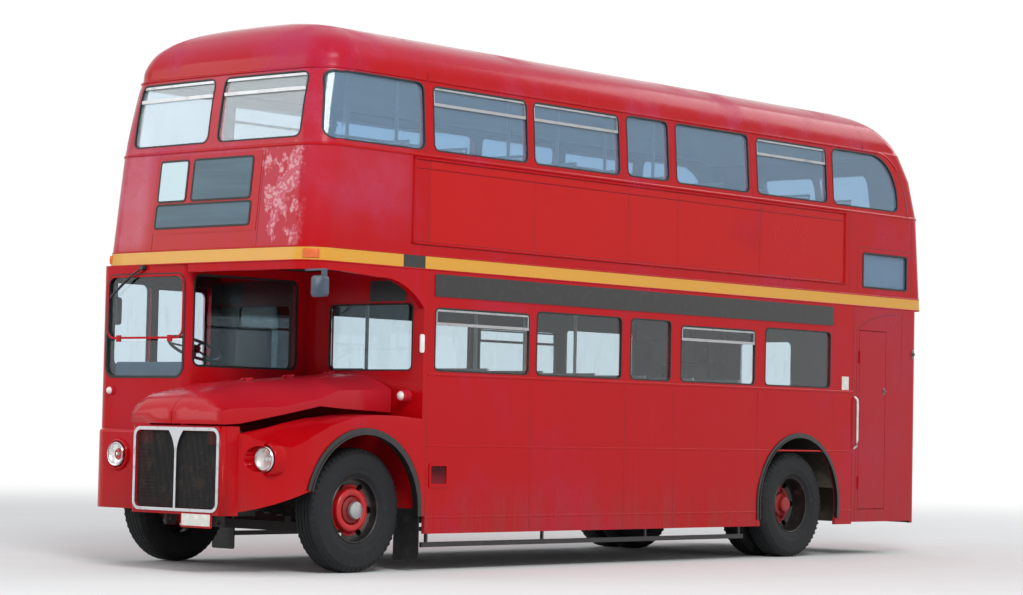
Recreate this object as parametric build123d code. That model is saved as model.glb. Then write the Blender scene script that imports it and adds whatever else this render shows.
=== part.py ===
from build123d import *
import math
import os

# Half-cab double decker bus, all sizes in millimetres.
# X grows to the nearside (bonnet side), Y grows rearwards, Z grows upwards.
# Y is counted from the front axle here; every piece is shifted by MID_Y when it is written.

# main sizes
WHEELBASE = 5842
HALF_W = 1219
NOSE_Y = -1262
REAR_Y = WHEELBASE + 2138
MID_Y = (NOSE_Y + REAR_Y) / 2
SKIRT_Z = 300
SILL_Z = 1608
DECK_Z = 2420
WAIST_Z = 3330
GUTTER_Z = 3945
ROOF_Z = 4382
WALL = 60
INNER = HALF_W - WALL
LOWER_WALL = 30
ROOF_T = 40
GLASS_T = 8
GLASS_DEPTH = 16
FIT = 0.3
GAP = 6
FAR = HALF_W + 181

# lower deck
BULK_Y = 613
BULK_T = 50
SIDE_Y = BULK_Y + BULK_T
ENTRY_Y = WHEELBASE + 891
LOWER_REAR_Y = REAR_Y - 80
REAR_PANEL_Y = REAR_Y - 220
FLOOR_Z = 700
FLOOR_T = 50
FLOOR_UNDER = FLOOR_Z - FLOOR_T
PLATFORM_Z = 380
PLATFORM_T = 60
LOWER_CORNER_R = 90

# upper deck
UPPER_FLOOR_T = 80
UPPER_FLOOR_Z = DECK_Z + 5 + UPPER_FLOOR_T

# cab
CAB_NEAR_X = -130
CAB_FRONT_Y = -705
CAB_T = 50
CAB_Z = 1090
CAB_FLOOR_T = 30
CANOPY_Z = 2350
CAB_CORNER_R = 130
CAB_INNER_CORNER_R = 60

# nose
GRILLE_X0 = -130
GRILLE_X1 = HALF_W - 314
GRILLE_Y = -1250
GRILLE_DEPTH = 170
GRILLE_Z0 = 450
GRILLE_Z1 = 1128
GRILLE_EDGE_R = 34
TRIM_T = 12
STRIP_W = 22
STRIP_TOP_W = 190
SEAM_X = 330
BONNET_X1 = GRILLE_X1 - 20
BONNET_Z = 1142
BONNET_REAR_Y = 600
SHEET = 20
OFF_FRONT_Y = -765
OFF_WING_Z = 450
OFF_CORNER_R = 200

# bonnet hinge line, just above the seam
HINGE_Z0 = 1544
HINGE_TILT = math.atan(0.0817)
HINGE_R = 9
HINGE_PIN_R = 4
HINGE_PLACES = (-480, -20, 440)

# lamps
LAMP_R = 98
LAMP_NEAR = (HALF_W - 179, -948, 885)
LAMP_OFF = (289 - HALF_W, OFF_FRONT_Y, 885)

# shafts
STUB_R = 32
PIN_R = 30
AXLE_R = 60

# towing eyes under the nose
TOW_R = 20
TOW_T = 30
TOW_Y = -1066
TOW_Z = 394

# wheels
TYRE_R = 490
TYRE_W = 240
RIM_R = 262
RIM_W = 168
FRONT_X = HALF_W - 214
TWIN_OUT_X = HALF_W - 174
TWIN_IN_X = TWIN_OUT_X - 290
KINGPIN_X = FRONT_X - 155
ARCH_R = 635
ARCH_Z = 495
OFF_ARCH_R = 570
WHEEL_BOX_IN_X = HALF_W - 659
WHEEL_BOX_Z = 1155
STUDS = 10
STUD_PCD = 285
STUD_R = 13
HAND_HOLES = 6
HAND_HOLE_PCD = 410
HAND_HOLE_R = 27

# chassis
RAIL_X0 = 350
RAIL_X1 = 430
RAIL_FRONT_Y = -700
RAIL_REAR_Y = WHEELBASE + 858
RAIL_SHALLOW_Z = 555
RAIL_DEEP_Z = 400
SPRING_W = 70
LEAF_T = 14
LEAVES = 4
SPRING_HALF = 560

# doorway in the rear platform panel
DOOR_Y0 = ENTRY_Y + 100
DOOR_Y1 = DOOR_Y0 + 467
DOOR_Z0 = 440
DOOR_Z1 = 2182
DOOR_PIN_OUT = 8
DOOR_PIN_R = 4

# seats
SEAT_W = 870
SEAT_H = 450
PAD_T = 120
BACK_T = 75
BACK_TOP = 920

# sections of the upper body shell
# z, half width, front, rear, bow of front, bow of rear, front corner radius, rear corner radius
UPPER = [
    (DECK_Z, HALF_W, -715, REAR_Y, 35, 30, 200, 90),
    (WAIST_Z, HALF_W, -618, REAR_Y - 40, 35, 35, 240, 160),
    (3700, HALF_W - 23, -568, REAR_Y - 117, 38, 35, 280, 200),
    (GUTTER_Z, HALF_W - 41, -520, REAR_Y - 260, 40, 35, 300, 240),
]
# sections of the roof, same columns
ROOF = [
    UPPER[-1],
    (4010, HALF_W - 48, -507, REAR_Y - 330, 40, 35, 296, 250),
    (4075, HALF_W - 62, -490, REAR_Y - 405, 40, 35, 288, 260),
    (4130, HALF_W - 88, -464, REAR_Y - 475, 40, 35, 276, 265),
    (4180, HALF_W - 124, -434, REAR_Y - 540, 40, 35, 262, 270),
    (4225, HALF_W - 178, -398, REAR_Y - 610, 40, 35, 250, 265),
    (4265, HALF_W - 248, -358, REAR_Y - 690, 40, 35, 234, 260),
    (4298, HALF_W - 332, -316, REAR_Y - 770, 40, 35, 220, 256),
    (4325, HALF_W - 428, -272, REAR_Y - 850, 40, 35, 205, 250),
    (4346, HALF_W - 540, -228, REAR_Y - 940, 40, 35, 192, 236),
    (4362, HALF_W - 660, -182, REAR_Y - 1050, 40, 35, 179, 220),
    (4375, HALF_W - 800, -120, REAR_Y - 1190, 40, 35, 165, 190),
    (ROOF_Z, HALF_W - 970, -40, REAR_Y - 1380, 40, 35, 130, 150),
]
LOWER_ROW = (SKIRT_Z, HALF_W, BULK_Y - 60, LOWER_REAR_Y, 5, 30, 30, LOWER_CORNER_R)


def along(y):
    """Place along the body: in proportion up to the rear axle, at a fixed distance behind it."""
    return y * WHEELBASE / 5842 if y < 5842 else y - 5842 + WHEELBASE


def placed(table):
    return [(along(row[0]), along(row[1])) + row[2:] for row in table]


# side windows, both sides: y0, y1, z0, z1, corner radius, radius of the upper rear corner,
# lean of the front edge
UPPER_WINDOWS = placed([
    (-515, 585, 3375, 3917, 70, 70, 78),
    (694, 1850, 3380, 3902, 55, 55, 0),
    (1938, 3082, 3380, 3902, 55, 55, 0),
    (3190, 3780, 3385, 3915, 55, 55, 0),
    (3890, 4990, 3380, 3915, 55, 55, 0),
    (5120, 6255, 3380, 3902, 55, 55, 0),
    (6360, 7480, 3378, 3917, 70, 430, 0),
])
LOWER_WINDOWS = placed([
    (746, 1905, SILL_Z, 2112, 45, 45, 0),
    (2004, 3140, SILL_Z, 2138, 45, 45, 0),
    (3268, 3840, SILL_Z, 2138, 45, 45, 0),
    (3990, 5110, SILL_Z, 2105, 45, 45, 0),
    (5275, 6340, SILL_Z, 2138, 45, 45, 0),
])
# end windows: x0, x1, z0, z1, corner radius
FRONT_WINDOWS = [
    (254 - HALF_W, -55, 3390, 3910, 60),
    (55, HALF_W - 246, 3390, 3910, 60),
]
REAR_WINDOWS = [
    (-640, -20, 3360, 3800, 60),
    (20, 640, 3360, 3800, 60),
]
LOWER_REAR_WINDOWS = [
    (-960, -330, 1640, 2110, 50),
]
BULK_WINDOWS = [
    (-960, -330, 1620, 2140, 45),
    (155, HALF_W - 127, SILL_Z, 2142, 45),
]
# front blinds: x0, x1, z0, z1, corner radius
BLINDS = [
    (-528, -195, 2925, 3255, 8),
    (-112, 562, 2925, 3255, 8),
    (-548, 548, 2692, 2898, 8),
]
# number blind on the rear nearside: y0, y1, z0, z1, corner radius
SIDE_BLIND = (ENTRY_Y + 143, ENTRY_Y + 917, 2604, 2936, 20)


def box(x0, x1, y0, y1, z0, z1):
    return Pos((x0 + x1) / 2, (y0 + y1) / 2, (z0 + z1) / 2) * Box(abs(x1 - x0), y1 - y0, z1 - z0)


def side_block(x0, x1, y0, y1, z0, z1, r, grow=0):
    """Rounded rectangle seen from the side, run along X."""
    face = RectangleRounded(y1 - y0 + 2 * grow, z1 - z0 + 2 * grow, r + grow)
    spot = Plane(origin=(x0, (y0 + y1) / 2, (z0 + z1) / 2), x_dir=(0, 1, 0), z_dir=(1, 0, 0))
    return extrude(spot * face, x1 - x0)


def side_light(x0, x1, row, grow=0):
    """Side window outline run along X; the upper rear corner may have its own radius."""
    y0, y1, z0, z1, r, r_rear, lean = row
    y0, y1, z0, z1 = y0 - grow, y1 + grow, z0 - grow, z1 + grow
    with BuildSketch(Plane(origin=(x0, 0, 0), x_dir=(0, 1, 0), z_dir=(1, 0, 0))) as sk:
        with BuildLine():
            Polyline((y0, z0), (y1, z0), (y1, z1), (y0 + lean, z1), close=True)
        make_face()
        # the sketch's own x runs along the body and its y upwards
        rear_top = sk.vertices().sort_by(Axis.X)[-2:].sort_by(Axis.Y)[-1]
        fillet([v for v in sk.vertices() if v != rear_top], r + grow)
        rear_top = sk.vertices().sort_by(Axis.X)[-2:].sort_by(Axis.Y)[-1]
        fillet(rear_top, r_rear + grow)
    return extrude(sk.sketch, x1 - x0)


def front_block(x0, x1, y0, y1, z0, z1, r, grow=0):
    """Rounded rectangle seen from the front, run along Y."""
    face = RectangleRounded(x1 - x0 + 2 * grow, z1 - z0 + 2 * grow, r + grow)
    spot = Plane(origin=((x0 + x1) / 2, y1, (z0 + z1) / 2), x_dir=(1, 0, 0), z_dir=(0, -1, 0))
    return extrude(spot * face, y1 - y0)


def side_prism(points, x0, x1):
    """Closed outline of (y, z) points run along X."""
    spot = Plane(origin=(x0, 0, 0), x_dir=(0, 1, 0), z_dir=(1, 0, 0))
    return extrude(spot * make_face(Polyline(*points, close=True)), x1 - x0)


def plan_face(row, inset=0, drop=0):
    """One level of the body outline: straight sides, bowed ends, rounded corners."""
    z, half, front, rear, bow_f, bow_r, r_f, r_r = row
    h = half - inset
    f = front + inset
    b = rear - inset
    with BuildSketch(Plane.XY.offset(z - drop)) as sk:
        with BuildLine():
            Line((h, f + bow_f), (h, b - bow_r))
            ThreePointArc((h, b - bow_r), (0, b), (-h, b - bow_r))
            Line((-h, b - bow_r), (-h, f + bow_f))
            ThreePointArc((-h, f + bow_f), (0, f), (h, f + bow_f))
        make_face()
        ends = sk.vertices().sort_by(Axis.Y)
        fillet(ends[0:2], max(r_f - inset, 1))
        ends = sk.vertices().sort_by(Axis.Y)
        fillet(ends[-2:], r_r - inset)
    return sk.sketch.faces()[0]


def upper_solid(inset):
    return loft([plan_face(row, inset) for row in UPPER], ruled=True)


def lower_solid(inset, below=0, above=0):
    face = plan_face(LOWER_ROW, inset, below)
    return extrude(face, DECK_Z - SKIRT_Z + below + above, dir=(0, 0, 1))


def cylinder_x(x0, x1, y, z, r):
    low = min(x0, x1)
    return Plane(origin=(low, y, z), x_dir=(0, 1, 0), z_dir=(1, 0, 0)) * extrude(Circle(r), abs(x1 - x0))


def cylinder_y(spot, r, y0, y1):
    """Round bar along Y about a centre point, from y0 to y1 counted from it."""
    x, y, z = spot
    return Plane(origin=(x, y + y1, z), x_dir=(1, 0, 0), z_dir=(0, -1, 0)) * extrude(Circle(r), y1 - y0)


def cylinder_z(x, y, z0, z1, r):
    return Pos(x, y, (z0 + z1) / 2) * Cylinder(r, z1 - z0)


def ring_x(profile, x, y, z):
    """Closed (along, radius) outline turned about the wheel axis."""
    face = make_face(Polyline(*profile, close=True))
    return Pos(x, y, z) * revolve(face, Axis.X)


def mirror_x(shape):
    return mirror(shape, about=Plane.YZ)


nodes = {}

# upper shell: one skin cut by the windows, its glass set into the same skin
upper_wall = upper_solid(0) - upper_solid(WALL)
upper_glass_shell = upper_solid(GLASS_DEPTH) - upper_solid(GLASS_DEPTH + GLASS_T)
LIGHT_X0 = HALF_W - 369
cuts = []
panes = []
for row in UPPER_WINDOWS:
    cut = side_light(LIGHT_X0, FAR, row)
    pane = side_light(LIGHT_X0, FAR, row, -FIT)
    cuts += [cut, mirror_x(cut)]
    panes += [pane, mirror_x(pane)]
for table, y0, y1 in ((FRONT_WINDOWS + BLINDS, -900, -400), (REAR_WINDOWS, REAR_Y - 480, REAR_Y + 120)):
    for x0, x1, z0, z1, r in table:
        cuts.append(front_block(x0, x1, y0, y1, z0, z1, r))
        panes.append(front_block(x0, x1, y0, y1, z0, z1, r, -FIT))
cuts.append(side_block(LIGHT_X0, FAR, *SIDE_BLIND))
panes.append(side_block(LIGHT_X0, FAR, *SIDE_BLIND, -FIT))
for cut in cuts:
    upper_wall = upper_wall - cut
glass_upper = []
for pane in panes:
    glass_upper += list((upper_glass_shell & pane).solids())
nodes["glass_upper"] = Compound(children=glass_upper)

upper_front = upper_wall & box(-FAR, FAR, -900, SIDE_Y, DECK_Z, GUTTER_Z)
BEHIND = REAR_Y + 320
rear_part = side_prism([(REAR_PANEL_Y, DECK_Z - 5), (REAR_PANEL_Y, WAIST_Z - 30),
                        (REAR_Y - 480, GUTTER_Z + 5), (BEHIND, GUTTER_Z + 5), (BEHIND, DECK_Z - 5)],
                       -FAR, FAR)
middle = (upper_wall & box(-FAR, FAR, SIDE_Y, BEHIND, DECK_Z, GUTTER_Z)) - rear_part
nodes["upper_rear"] = upper_wall & rear_part
nodes["upper_side_nearside"] = middle & box(0, FAR, 0, BEHIND, DECK_Z, GUTTER_Z)
nodes["upper_side_offside"] = middle & box(-FAR, 0, 0, BEHIND, DECK_Z, GUTTER_Z)

# closed housings of the blinds: a body behind the wall with a face close behind each pane
BLIND_BODY = 45
housing = box(-610, 610, -900, -510, 2665, 3285) & upper_solid(WALL)
for x0, x1, z0, z1, r in BLINDS:
    face = front_block(x0, x1, -900, -560, z0, z1, r, -FIT)
    housing = housing + (face & upper_solid(GLASS_DEPTH + GLASS_T + GAP))
side_housing = side_block(INNER - 2 * BLIND_BODY, INNER, *SIDE_BLIND, BLIND_BODY / 2)
side_housing = side_housing + side_block(INNER - BLIND_BODY, HALF_W - GLASS_DEPTH - GLASS_T - GAP,
                                         *SIDE_BLIND, -FIT)
nodes["blind_boxes"] = Compound(children=[housing, side_housing])

# canopy rail and side valance below the upper front panel
canopy = extrude(plan_face(UPPER[0]), CANOPY_Z - DECK_Z, dir=(0, 0, 1))
canopy = canopy - extrude(plan_face(UPPER[0], WALL), CANOPY_Z - DECK_Z, dir=(0, 0, 1))
canopy = canopy & box(CAB_NEAR_X, FAR, -900, BULK_Y, CANOPY_Z, DECK_Z)
with BuildSketch(Plane(origin=(INNER, 0, 0), x_dir=(0, 1, 0), z_dir=(1, 0, 0))) as sk:
    with BuildLine():
        Line((-300, CANOPY_Z), (60, 2325))
        ThreePointArc((60, 2325), (400, 2262), (BULK_Y, 2100))
        Line((BULK_Y, 2100), (BULK_Y, CANOPY_Z))
        Line((BULK_Y, CANOPY_Z), (-300, CANOPY_Z))
    make_face()
nodes["upper_front"] = upper_front + canopy + extrude(sk.sketch, WALL)

# roof dome over the shell
inner_rows = [plan_face(ROOF[0], ROOF_T + 5, 10)] + [plan_face(row, ROOF_T + 5, ROOF_T) for row in ROOF[2:]]
roof_inner = loft(inner_rows)
nodes["roof"] = loft([plan_face(row) for row in ROOF]) - roof_inner

# upper floor with the stair well
WELL_X = -520
WELL_Y0 = WHEELBASE + 448
WELL_Y1 = REAR_PANEL_Y - 70
floor = upper_solid(WALL) & box(-FAR, FAR, -900, BEHIND, DECK_Z + 5, UPPER_FLOOR_Z)
nodes["upper_floor"] = floor - box(-INNER - 5, WELL_X, WELL_Y0, WELL_Y1, DECK_Z - 100, UPPER_FLOOR_Z + 100)

# lower body
lower_inner = (0,) + LOWER_ROW[1:6] + (LOWER_WALL + 0.5, LOWER_CORNER_R)
lower_wall = lower_solid(0) - extrude(plan_face(lower_inner, LOWER_WALL), DECK_Z + 10, dir=(0, 0, 1))
rear_arch = cylinder_x(-FAR, FAR, WHEELBASE, ARCH_Z, ARCH_R)
rear_arch = rear_arch + box(-FAR, FAR, WHEELBASE - 610, WHEELBASE + 610, 200, 430)
lower_wall = lower_wall - rear_arch
for row in LOWER_WINDOWS:
    cut = side_light(HALF_W - 119, FAR, row)
    lower_wall = lower_wall - cut - mirror_x(cut)
for x0, x1, z0, z1, r in LOWER_REAR_WINDOWS:
    lower_wall = lower_wall - front_block(x0, x1, REAR_Y - 280, REAR_Y + 20, z0, z1, r)
nodes["lower_side_nearside"] = lower_wall & box(0, FAR, SIDE_Y, ENTRY_Y, SKIRT_Z, DECK_Z)
nodes["lower_side_offside"] = lower_wall & box(-FAR, 0, SIDE_Y, REAR_PANEL_Y, SKIRT_Z, DECK_Z)
nodes["lower_rear"] = lower_wall & box(-FAR, FAR, REAR_PANEL_Y, BEHIND, SKIRT_Z, DECK_Z)

LOWER_GLASS_DEPTH = 12
glass_lower = []
for row in LOWER_WINDOWS:
    pane = side_light(HALF_W - LOWER_GLASS_DEPTH - GLASS_T, HALF_W - LOWER_GLASS_DEPTH, row, -FIT)
    glass_lower += [pane, mirror_x(pane)]
rear_skin = lower_solid(LOWER_GLASS_DEPTH) - lower_solid(LOWER_GLASS_DEPTH + GLASS_T)
for x0, x1, z0, z1, r in LOWER_REAR_WINDOWS:
    pane = front_block(x0, x1, REAR_Y - 280, REAR_Y + 20, z0, z1, r, -FIT)
    glass_lower += list((rear_skin & pane).solids())

# front bulkhead between cab, bonnet and lower saloon
bulk = box(-HALF_W, HALF_W, BULK_Y, SIDE_Y, 440, DECK_Z)
bulk = bulk - box(319 - HALF_W, HALF_W - 339, BULK_Y - 10, SIDE_Y + 10, 400, FLOOR_UNDER)
for x0, x1, z0, z1, r in BULK_WINDOWS:
    bulk = bulk - front_block(x0, x1, BULK_Y - 50, SIDE_Y + 50, z0, z1, r)
    glass_lower.append(front_block(x0, x1, BULK_Y + 20, BULK_Y + 20 + GLASS_T, z0, z1, r, -FIT))
nodes["front_bulkhead"] = bulk
nodes["glass_lower"] = Compound(children=glass_lower)

# flat panel beside the platform with its hinged door
infill = box(HALF_W - LOWER_WALL, HALF_W, ENTRY_Y, REAR_PANEL_Y, PLATFORM_Z - PLATFORM_T, DECK_Z)
infill = infill - box(HALF_W - 60, HALF_W + 20, DOOR_Y0, DOOR_Y1, DOOR_Z0, DOOR_Z1)
leaf = box(HALF_W - LOWER_WALL, HALF_W, DOOR_Y0 + GAP, DOOR_Y1 - GAP, DOOR_Z0 + GAP, DOOR_Z1 - GAP)
PIN_X = HALF_W + DOOR_PIN_OUT
PIN_Y = DOOR_Y0 + GAP / 2
BARREL_R = 8
for z in (700, 1310, 1920):
    for z0 in (z - 60, z + 26):
        infill = infill + cylinder_z(PIN_X, PIN_Y, z0, z0 + 34, BARREL_R)
        infill = infill + box(HALF_W - 2, PIN_X, PIN_Y - 14, PIN_Y - 4, z0, z0 + 34)
    infill = infill + cylinder_z(PIN_X, PIN_Y, z - 60, z + 60, DOOR_PIN_R)
    barrel = cylinder_z(PIN_X, PIN_Y, z - 25, z + 25, BARREL_R)
    barrel = barrel + box(HALF_W - 2, PIN_X, PIN_Y + 4, PIN_Y + 14, z - 25, z + 25)
    leaf = leaf + (barrel - cylinder_z(PIN_X, PIN_Y, z - 30, z + 30, DOOR_PIN_R + FIT))
nodes["platform_infill"] = infill
nodes["platform_door"] = leaf

# floors and wheel boxes
BOX_HALF_Y = 640
wheel_gap = box(-FAR, FAR, WHEELBASE - BOX_HALF_Y + SHEET, WHEELBASE + BOX_HALF_Y - SHEET, 0, WHEEL_BOX_Z)
between = WHEEL_BOX_IN_X + SHEET
wheel_gap = wheel_gap - box(-between, between, WHEELBASE - 842, WHEELBASE + 858, 0, WHEEL_BOX_Z)
INNER_X = HALF_W - LOWER_WALL
floor = box(-INNER_X, INNER_X, SIDE_Y, ENTRY_Y, FLOOR_UNDER, FLOOR_Z) - wheel_gap
for s in (1, -1):
    x0, x1 = sorted((s * WHEEL_BOX_IN_X, s * INNER_X))
    shell = box(x0, x1, WHEELBASE - BOX_HALF_Y, WHEELBASE + BOX_HALF_Y, FLOOR_Z, WHEEL_BOX_Z)
    x0, x1 = sorted((s * (WHEEL_BOX_IN_X + SHEET), s * FAR))
    floor = floor + (shell - box(x0, x1, WHEELBASE - BOX_HALF_Y + SHEET, WHEELBASE + BOX_HALF_Y - SHEET,
                                 500, WHEEL_BOX_Z - SHEET))
nodes["lower_floor"] = floor
platform = box(-INNER_X, INNER_X, ENTRY_Y, LOWER_REAR_Y - 185, PLATFORM_Z - PLATFORM_T, PLATFORM_Z)
nodes["platform_floor"] = platform + box(-INNER_X, INNER_X, ENTRY_Y, ENTRY_Y + 30, PLATFORM_Z, FLOOR_Z)


def cab_solid(inset, z0, z1):
    with BuildSketch(Plane.XY.offset(z0)) as sk:
        with Locations((-(HALF_W - CAB_NEAR_X) / 2, (CAB_FRONT_Y + BULK_Y) / 2)):
            Rectangle(HALF_W + CAB_NEAR_X - 2 * inset, BULK_Y - CAB_FRONT_Y - 2 * inset)
        front = sk.vertices().sort_by(Axis.Y)[0:2].sort_by(Axis.X)
        fillet(front[0], CAB_CORNER_R - inset)
        front = sk.vertices().sort_by(Axis.Y)[0:2].sort_by(Axis.X)
        fillet(front[-1], CAB_INNER_CORNER_R - inset)
    return extrude(sk.sketch, z1 - z0)


# windscreen, nearside window, offside quarter light and doorway of the cab
SCREEN = (114 - HALF_W, CAB_NEAR_X - 44, 1512, 2340, 90)
SCREEN_BAR_Z = (1806, 1822)
NEAR_PANE = (-638, 510, 1606, 2335, 60)
QUARTER = (-560, -170, 1606, 2300, 60)
CAB_DOOR = (-90, 500, 1150, 2300)
CAB_GLASS_DEPTH = 16
cab = cab_solid(0, CAB_Z, DECK_Z)
cab = cab - cab_solid(CAB_T, CAB_Z - 10, DECK_Z + 10)
cab = cab - box(-HALF_W + CAB_T, CAB_NEAR_X - CAB_T, 300, BULK_Y + 20, CAB_Z - 10, DECK_Z + 10)
cab = cab - front_block(SCREEN[0], SCREEN[1], -800, -600, *SCREEN[2:])
cab = cab - side_block(-250, -50, *NEAR_PANE)
cab = cab - box(-FAR, 119 - HALF_W, *CAB_DOOR)
nodes["cab_shell"] = cab - side_block(-FAR, 119 - HALF_W, *QUARTER)
front = CAB_FRONT_Y + CAB_GLASS_DEPTH
screen = front_block(SCREEN[0], SCREEN[1], front, front + GLASS_T, *SCREEN[2:], -FIT)
near_x = CAB_NEAR_X - CAB_GLASS_DEPTH
off_x = -HALF_W + CAB_GLASS_DEPTH
nodes["glass_cab"] = Compound(children=[
    screen & box(-FAR, 0, -800, -600, SCREEN[2], SCREEN_BAR_Z[0]),
    screen & box(-FAR, 0, -800, -600, SCREEN_BAR_Z[1], SCREEN[3]),
    side_block(near_x - GLASS_T, near_x, *NEAR_PANE, -FIT),
    side_block(off_x, off_x + GLASS_T, *QUARTER, -FIT),
])

# sliding cab door outside the shell, between two runners
DOOR_LAP = 40
CAB_DOOR_T = 24
SLIDE = 590
door_y0 = CAB_DOOR[0] - DOOR_LAP
door_y1 = CAB_DOOR[1] + DOOR_LAP
door_z0 = CAB_DOOR[2] - DOOR_LAP
door_z1 = CAB_DOOR[3] + DOOR_LAP / 2
DOOR_LIGHT = (CAB_DOOR[0] + 20, CAB_DOOR[1] - 20, 1620, 2260, 50)
door_x = -HALF_W - GAP
door = box(door_x - CAB_DOOR_T, door_x, door_y0, door_y1, door_z0, door_z1)
nodes["cab_door"] = door - side_block(-FAR, door_x + SHEET, *DOOR_LIGHT)
nodes["cab_door_glass"] = side_block(door_x - 16, door_x - 16 + GLASS_T, *DOOR_LIGHT, -FIT)
RUNNER = 16
rails = []
for z0 in (door_z0 - FIT - RUNNER, door_z1 + FIT):
    rails.append(box(door_x - CAB_DOOR_T - 4, -HALF_W, door_y0 - 20, door_y1 + 20 + SLIDE, z0, z0 + RUNNER))
nodes["cab_door_rails"] = Compound(children=rails)
dash = box(139 - HALF_W, CAB_NEAR_X - 65, CAB_FRONT_Y + CAB_T, -500, 1310, 1490)
nodes["cab_dash"] = fillet(dash.edges().filter_by(Axis.X).sort_by(Axis.Y)[-2:], 40)

# bonnet sections: y, seam top, shoulder, side bottom
BONNET = [
    (GRILLE_Y - TRIM_T, 1238, 1232, BONNET_Z),
    (-1215, 1302, 1252, BONNET_Z),
    (-1150, 1352, 1262, 1144),
    (-1050, 1394, 1268, 1152),
    (-600, 1484, 1290, 1228),
    (-200, 1517, 1360, 1300),
    (0, 1533, 1428, 1288),
    (BONNET_REAR_Y, 1582, 1450, 1264),
]


def bonnet_row(y, top, shoulder, bottom, x0, x1, inset):
    t = top - inset
    s = shoulder - inset
    xo = x1 - inset
    zb = bottom - (0 if inset == 0 else 200)
    with BuildSketch(Plane(origin=(0, y, 0), x_dir=(1, 0, 0), z_dir=(0, -1, 0))) as sk:
        with BuildLine():
            Line((x0, zb), (x0, t))
            ThreePointArc((x0, t), (x0 + 0.58 * (xo - x0), s + 0.74 * (t - s)), (xo, s))
            Line((xo, s), (xo, zb))
            Line((xo, zb), (x0, zb))
        make_face()
    return sk.sketch.faces()[0]


def scuttle_row(y, top, inset, x0, x1):
    t = top - inset
    zb = BONNET_Z - (0 if inset == 0 else 300)
    with BuildSketch(Plane(origin=(0, y, 0), x_dir=(1, 0, 0), z_dir=(0, -1, 0))) as sk:
        with BuildLine():
            Line((x0, zb), (x0, t - 22))
            ThreePointArc((x0, t - 22), ((x0 + x1) / 2, t - 6), (x1, t))
            Line((x1, t), (x1, zb))
            Line((x1, zb), (x0, zb))
        make_face()
    return sk.sketch.faces()[0]


outer = loft([bonnet_row(*row, SEAM_X + GAP, BONNET_X1, 0) for row in BONNET], ruled=True)
rows = []
for i, row in enumerate(BONNET):
    y = row[0] + (SHEET if i == 0 else 0)
    rows.append(bonnet_row(y, *row[1:], SEAM_X - 60, BONNET_X1, SHEET))
rows.append(bonnet_row(BONNET_REAR_Y + 40, *BONNET[-1][1:], SEAM_X - 60, BONNET_X1, SHEET))
bonnet = outer - loft(rows, ruled=True)

# fixed scuttle between the bonnet seam and the cab
outer = loft([scuttle_row(r[0], r[1], 0, CAB_NEAR_X, SEAM_X) for r in BONNET], ruled=True)
rows = []
for i, r in enumerate(BONNET):
    rows.append(scuttle_row(r[0] + (SHEET if i == 0 else 0), r[1], SHEET, CAB_NEAR_X + SHEET, SEAM_X + 60))
rows.append(scuttle_row(BULK_Y + 40, BONNET[-1][1], SHEET, CAB_NEAR_X + SHEET, SEAM_X + 60))
scuttle = outer - loft(rows, ruled=True)
SCUTTLE_END_Z = 1556
scuttle = scuttle + (box(CAB_NEAR_X, SEAM_X, BONNET_REAR_Y, BULK_Y, BONNET_Z, SCUTTLE_END_Z)
                     - box(CAB_NEAR_X + SHEET, SEAM_X + 10, BONNET_REAR_Y - 5, BULK_Y + 5,
                           BONNET_Z - 40, SCUTTLE_END_Z - SHEET))

# bonnet hinges: a rod in two fixed barrels, one barrel of the bonnet between them
hinge_plane = Plane(origin=(SEAM_X + GAP / 2, 0, HINGE_Z0), x_dir=(1, 0, 0),
                    z_dir=(0, math.cos(HINGE_TILT), math.sin(HINGE_TILT)))
BARREL_L = 30
LOOSE_L = 48
BARREL_AT = 45
for at in HINGE_PLACES:
    here = hinge_plane * Pos(0, 0, at)
    for off in (-BARREL_AT, BARREL_AT):
        scuttle = scuttle + here * Pos(0, 0, off) * Cylinder(HINGE_R, BARREL_L)
        scuttle = scuttle + here * Pos(-HINGE_R, 6, off) * Box(2 * HINGE_R, 6, BARREL_L)
        scuttle = scuttle + here * Pos(-16, 13, off) * Box(12, 20, BARREL_L)
    scuttle = scuttle + here * Cylinder(HINGE_PIN_R, 2 * BARREL_AT + BARREL_L - 2)
    loose = here * Cylinder(HINGE_R, LOOSE_L)
    loose = loose + here * Pos(HINGE_R, 6, 0) * Box(2 * HINGE_R, 6, LOOSE_L)
    loose = loose + here * Pos(16, 13, 0) * Box(12, 20, LOOSE_L)
    bonnet = bonnet + (loose - here * Cylinder(HINGE_PIN_R + FIT, 300))
nodes["bonnet"] = bonnet
nodes["bonnet_scuttle"] = scuttle

# grille surround with rounded upright edges, and its side panel back to the offside wing
grille = box(GRILLE_X0, GRILLE_X1, GRILLE_Y, GRILLE_Y + GRILLE_DEPTH, GRILLE_Z0, GRILLE_Z1)
grille = fillet(grille.edges().filter_by(Axis.Z).sort_by(Axis.Y)[0:2], GRILLE_EDGE_R)
grille = grille - front_block(GRILLE_X0 + 60, GRILLE_X1 - 60, GRILLE_Y - 10, GRILLE_Y + 300,
                              GRILLE_Z0 + 45, GRILLE_Z1 - 40, 50)
side_panel = box(GRILLE_X0, GRILLE_X0 + SHEET, GRILLE_Y + GRILLE_DEPTH, OFF_FRONT_Y, GRILLE_Z0, BONNET_Z)
nodes["grille_surround"] = grille + side_panel

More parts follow.
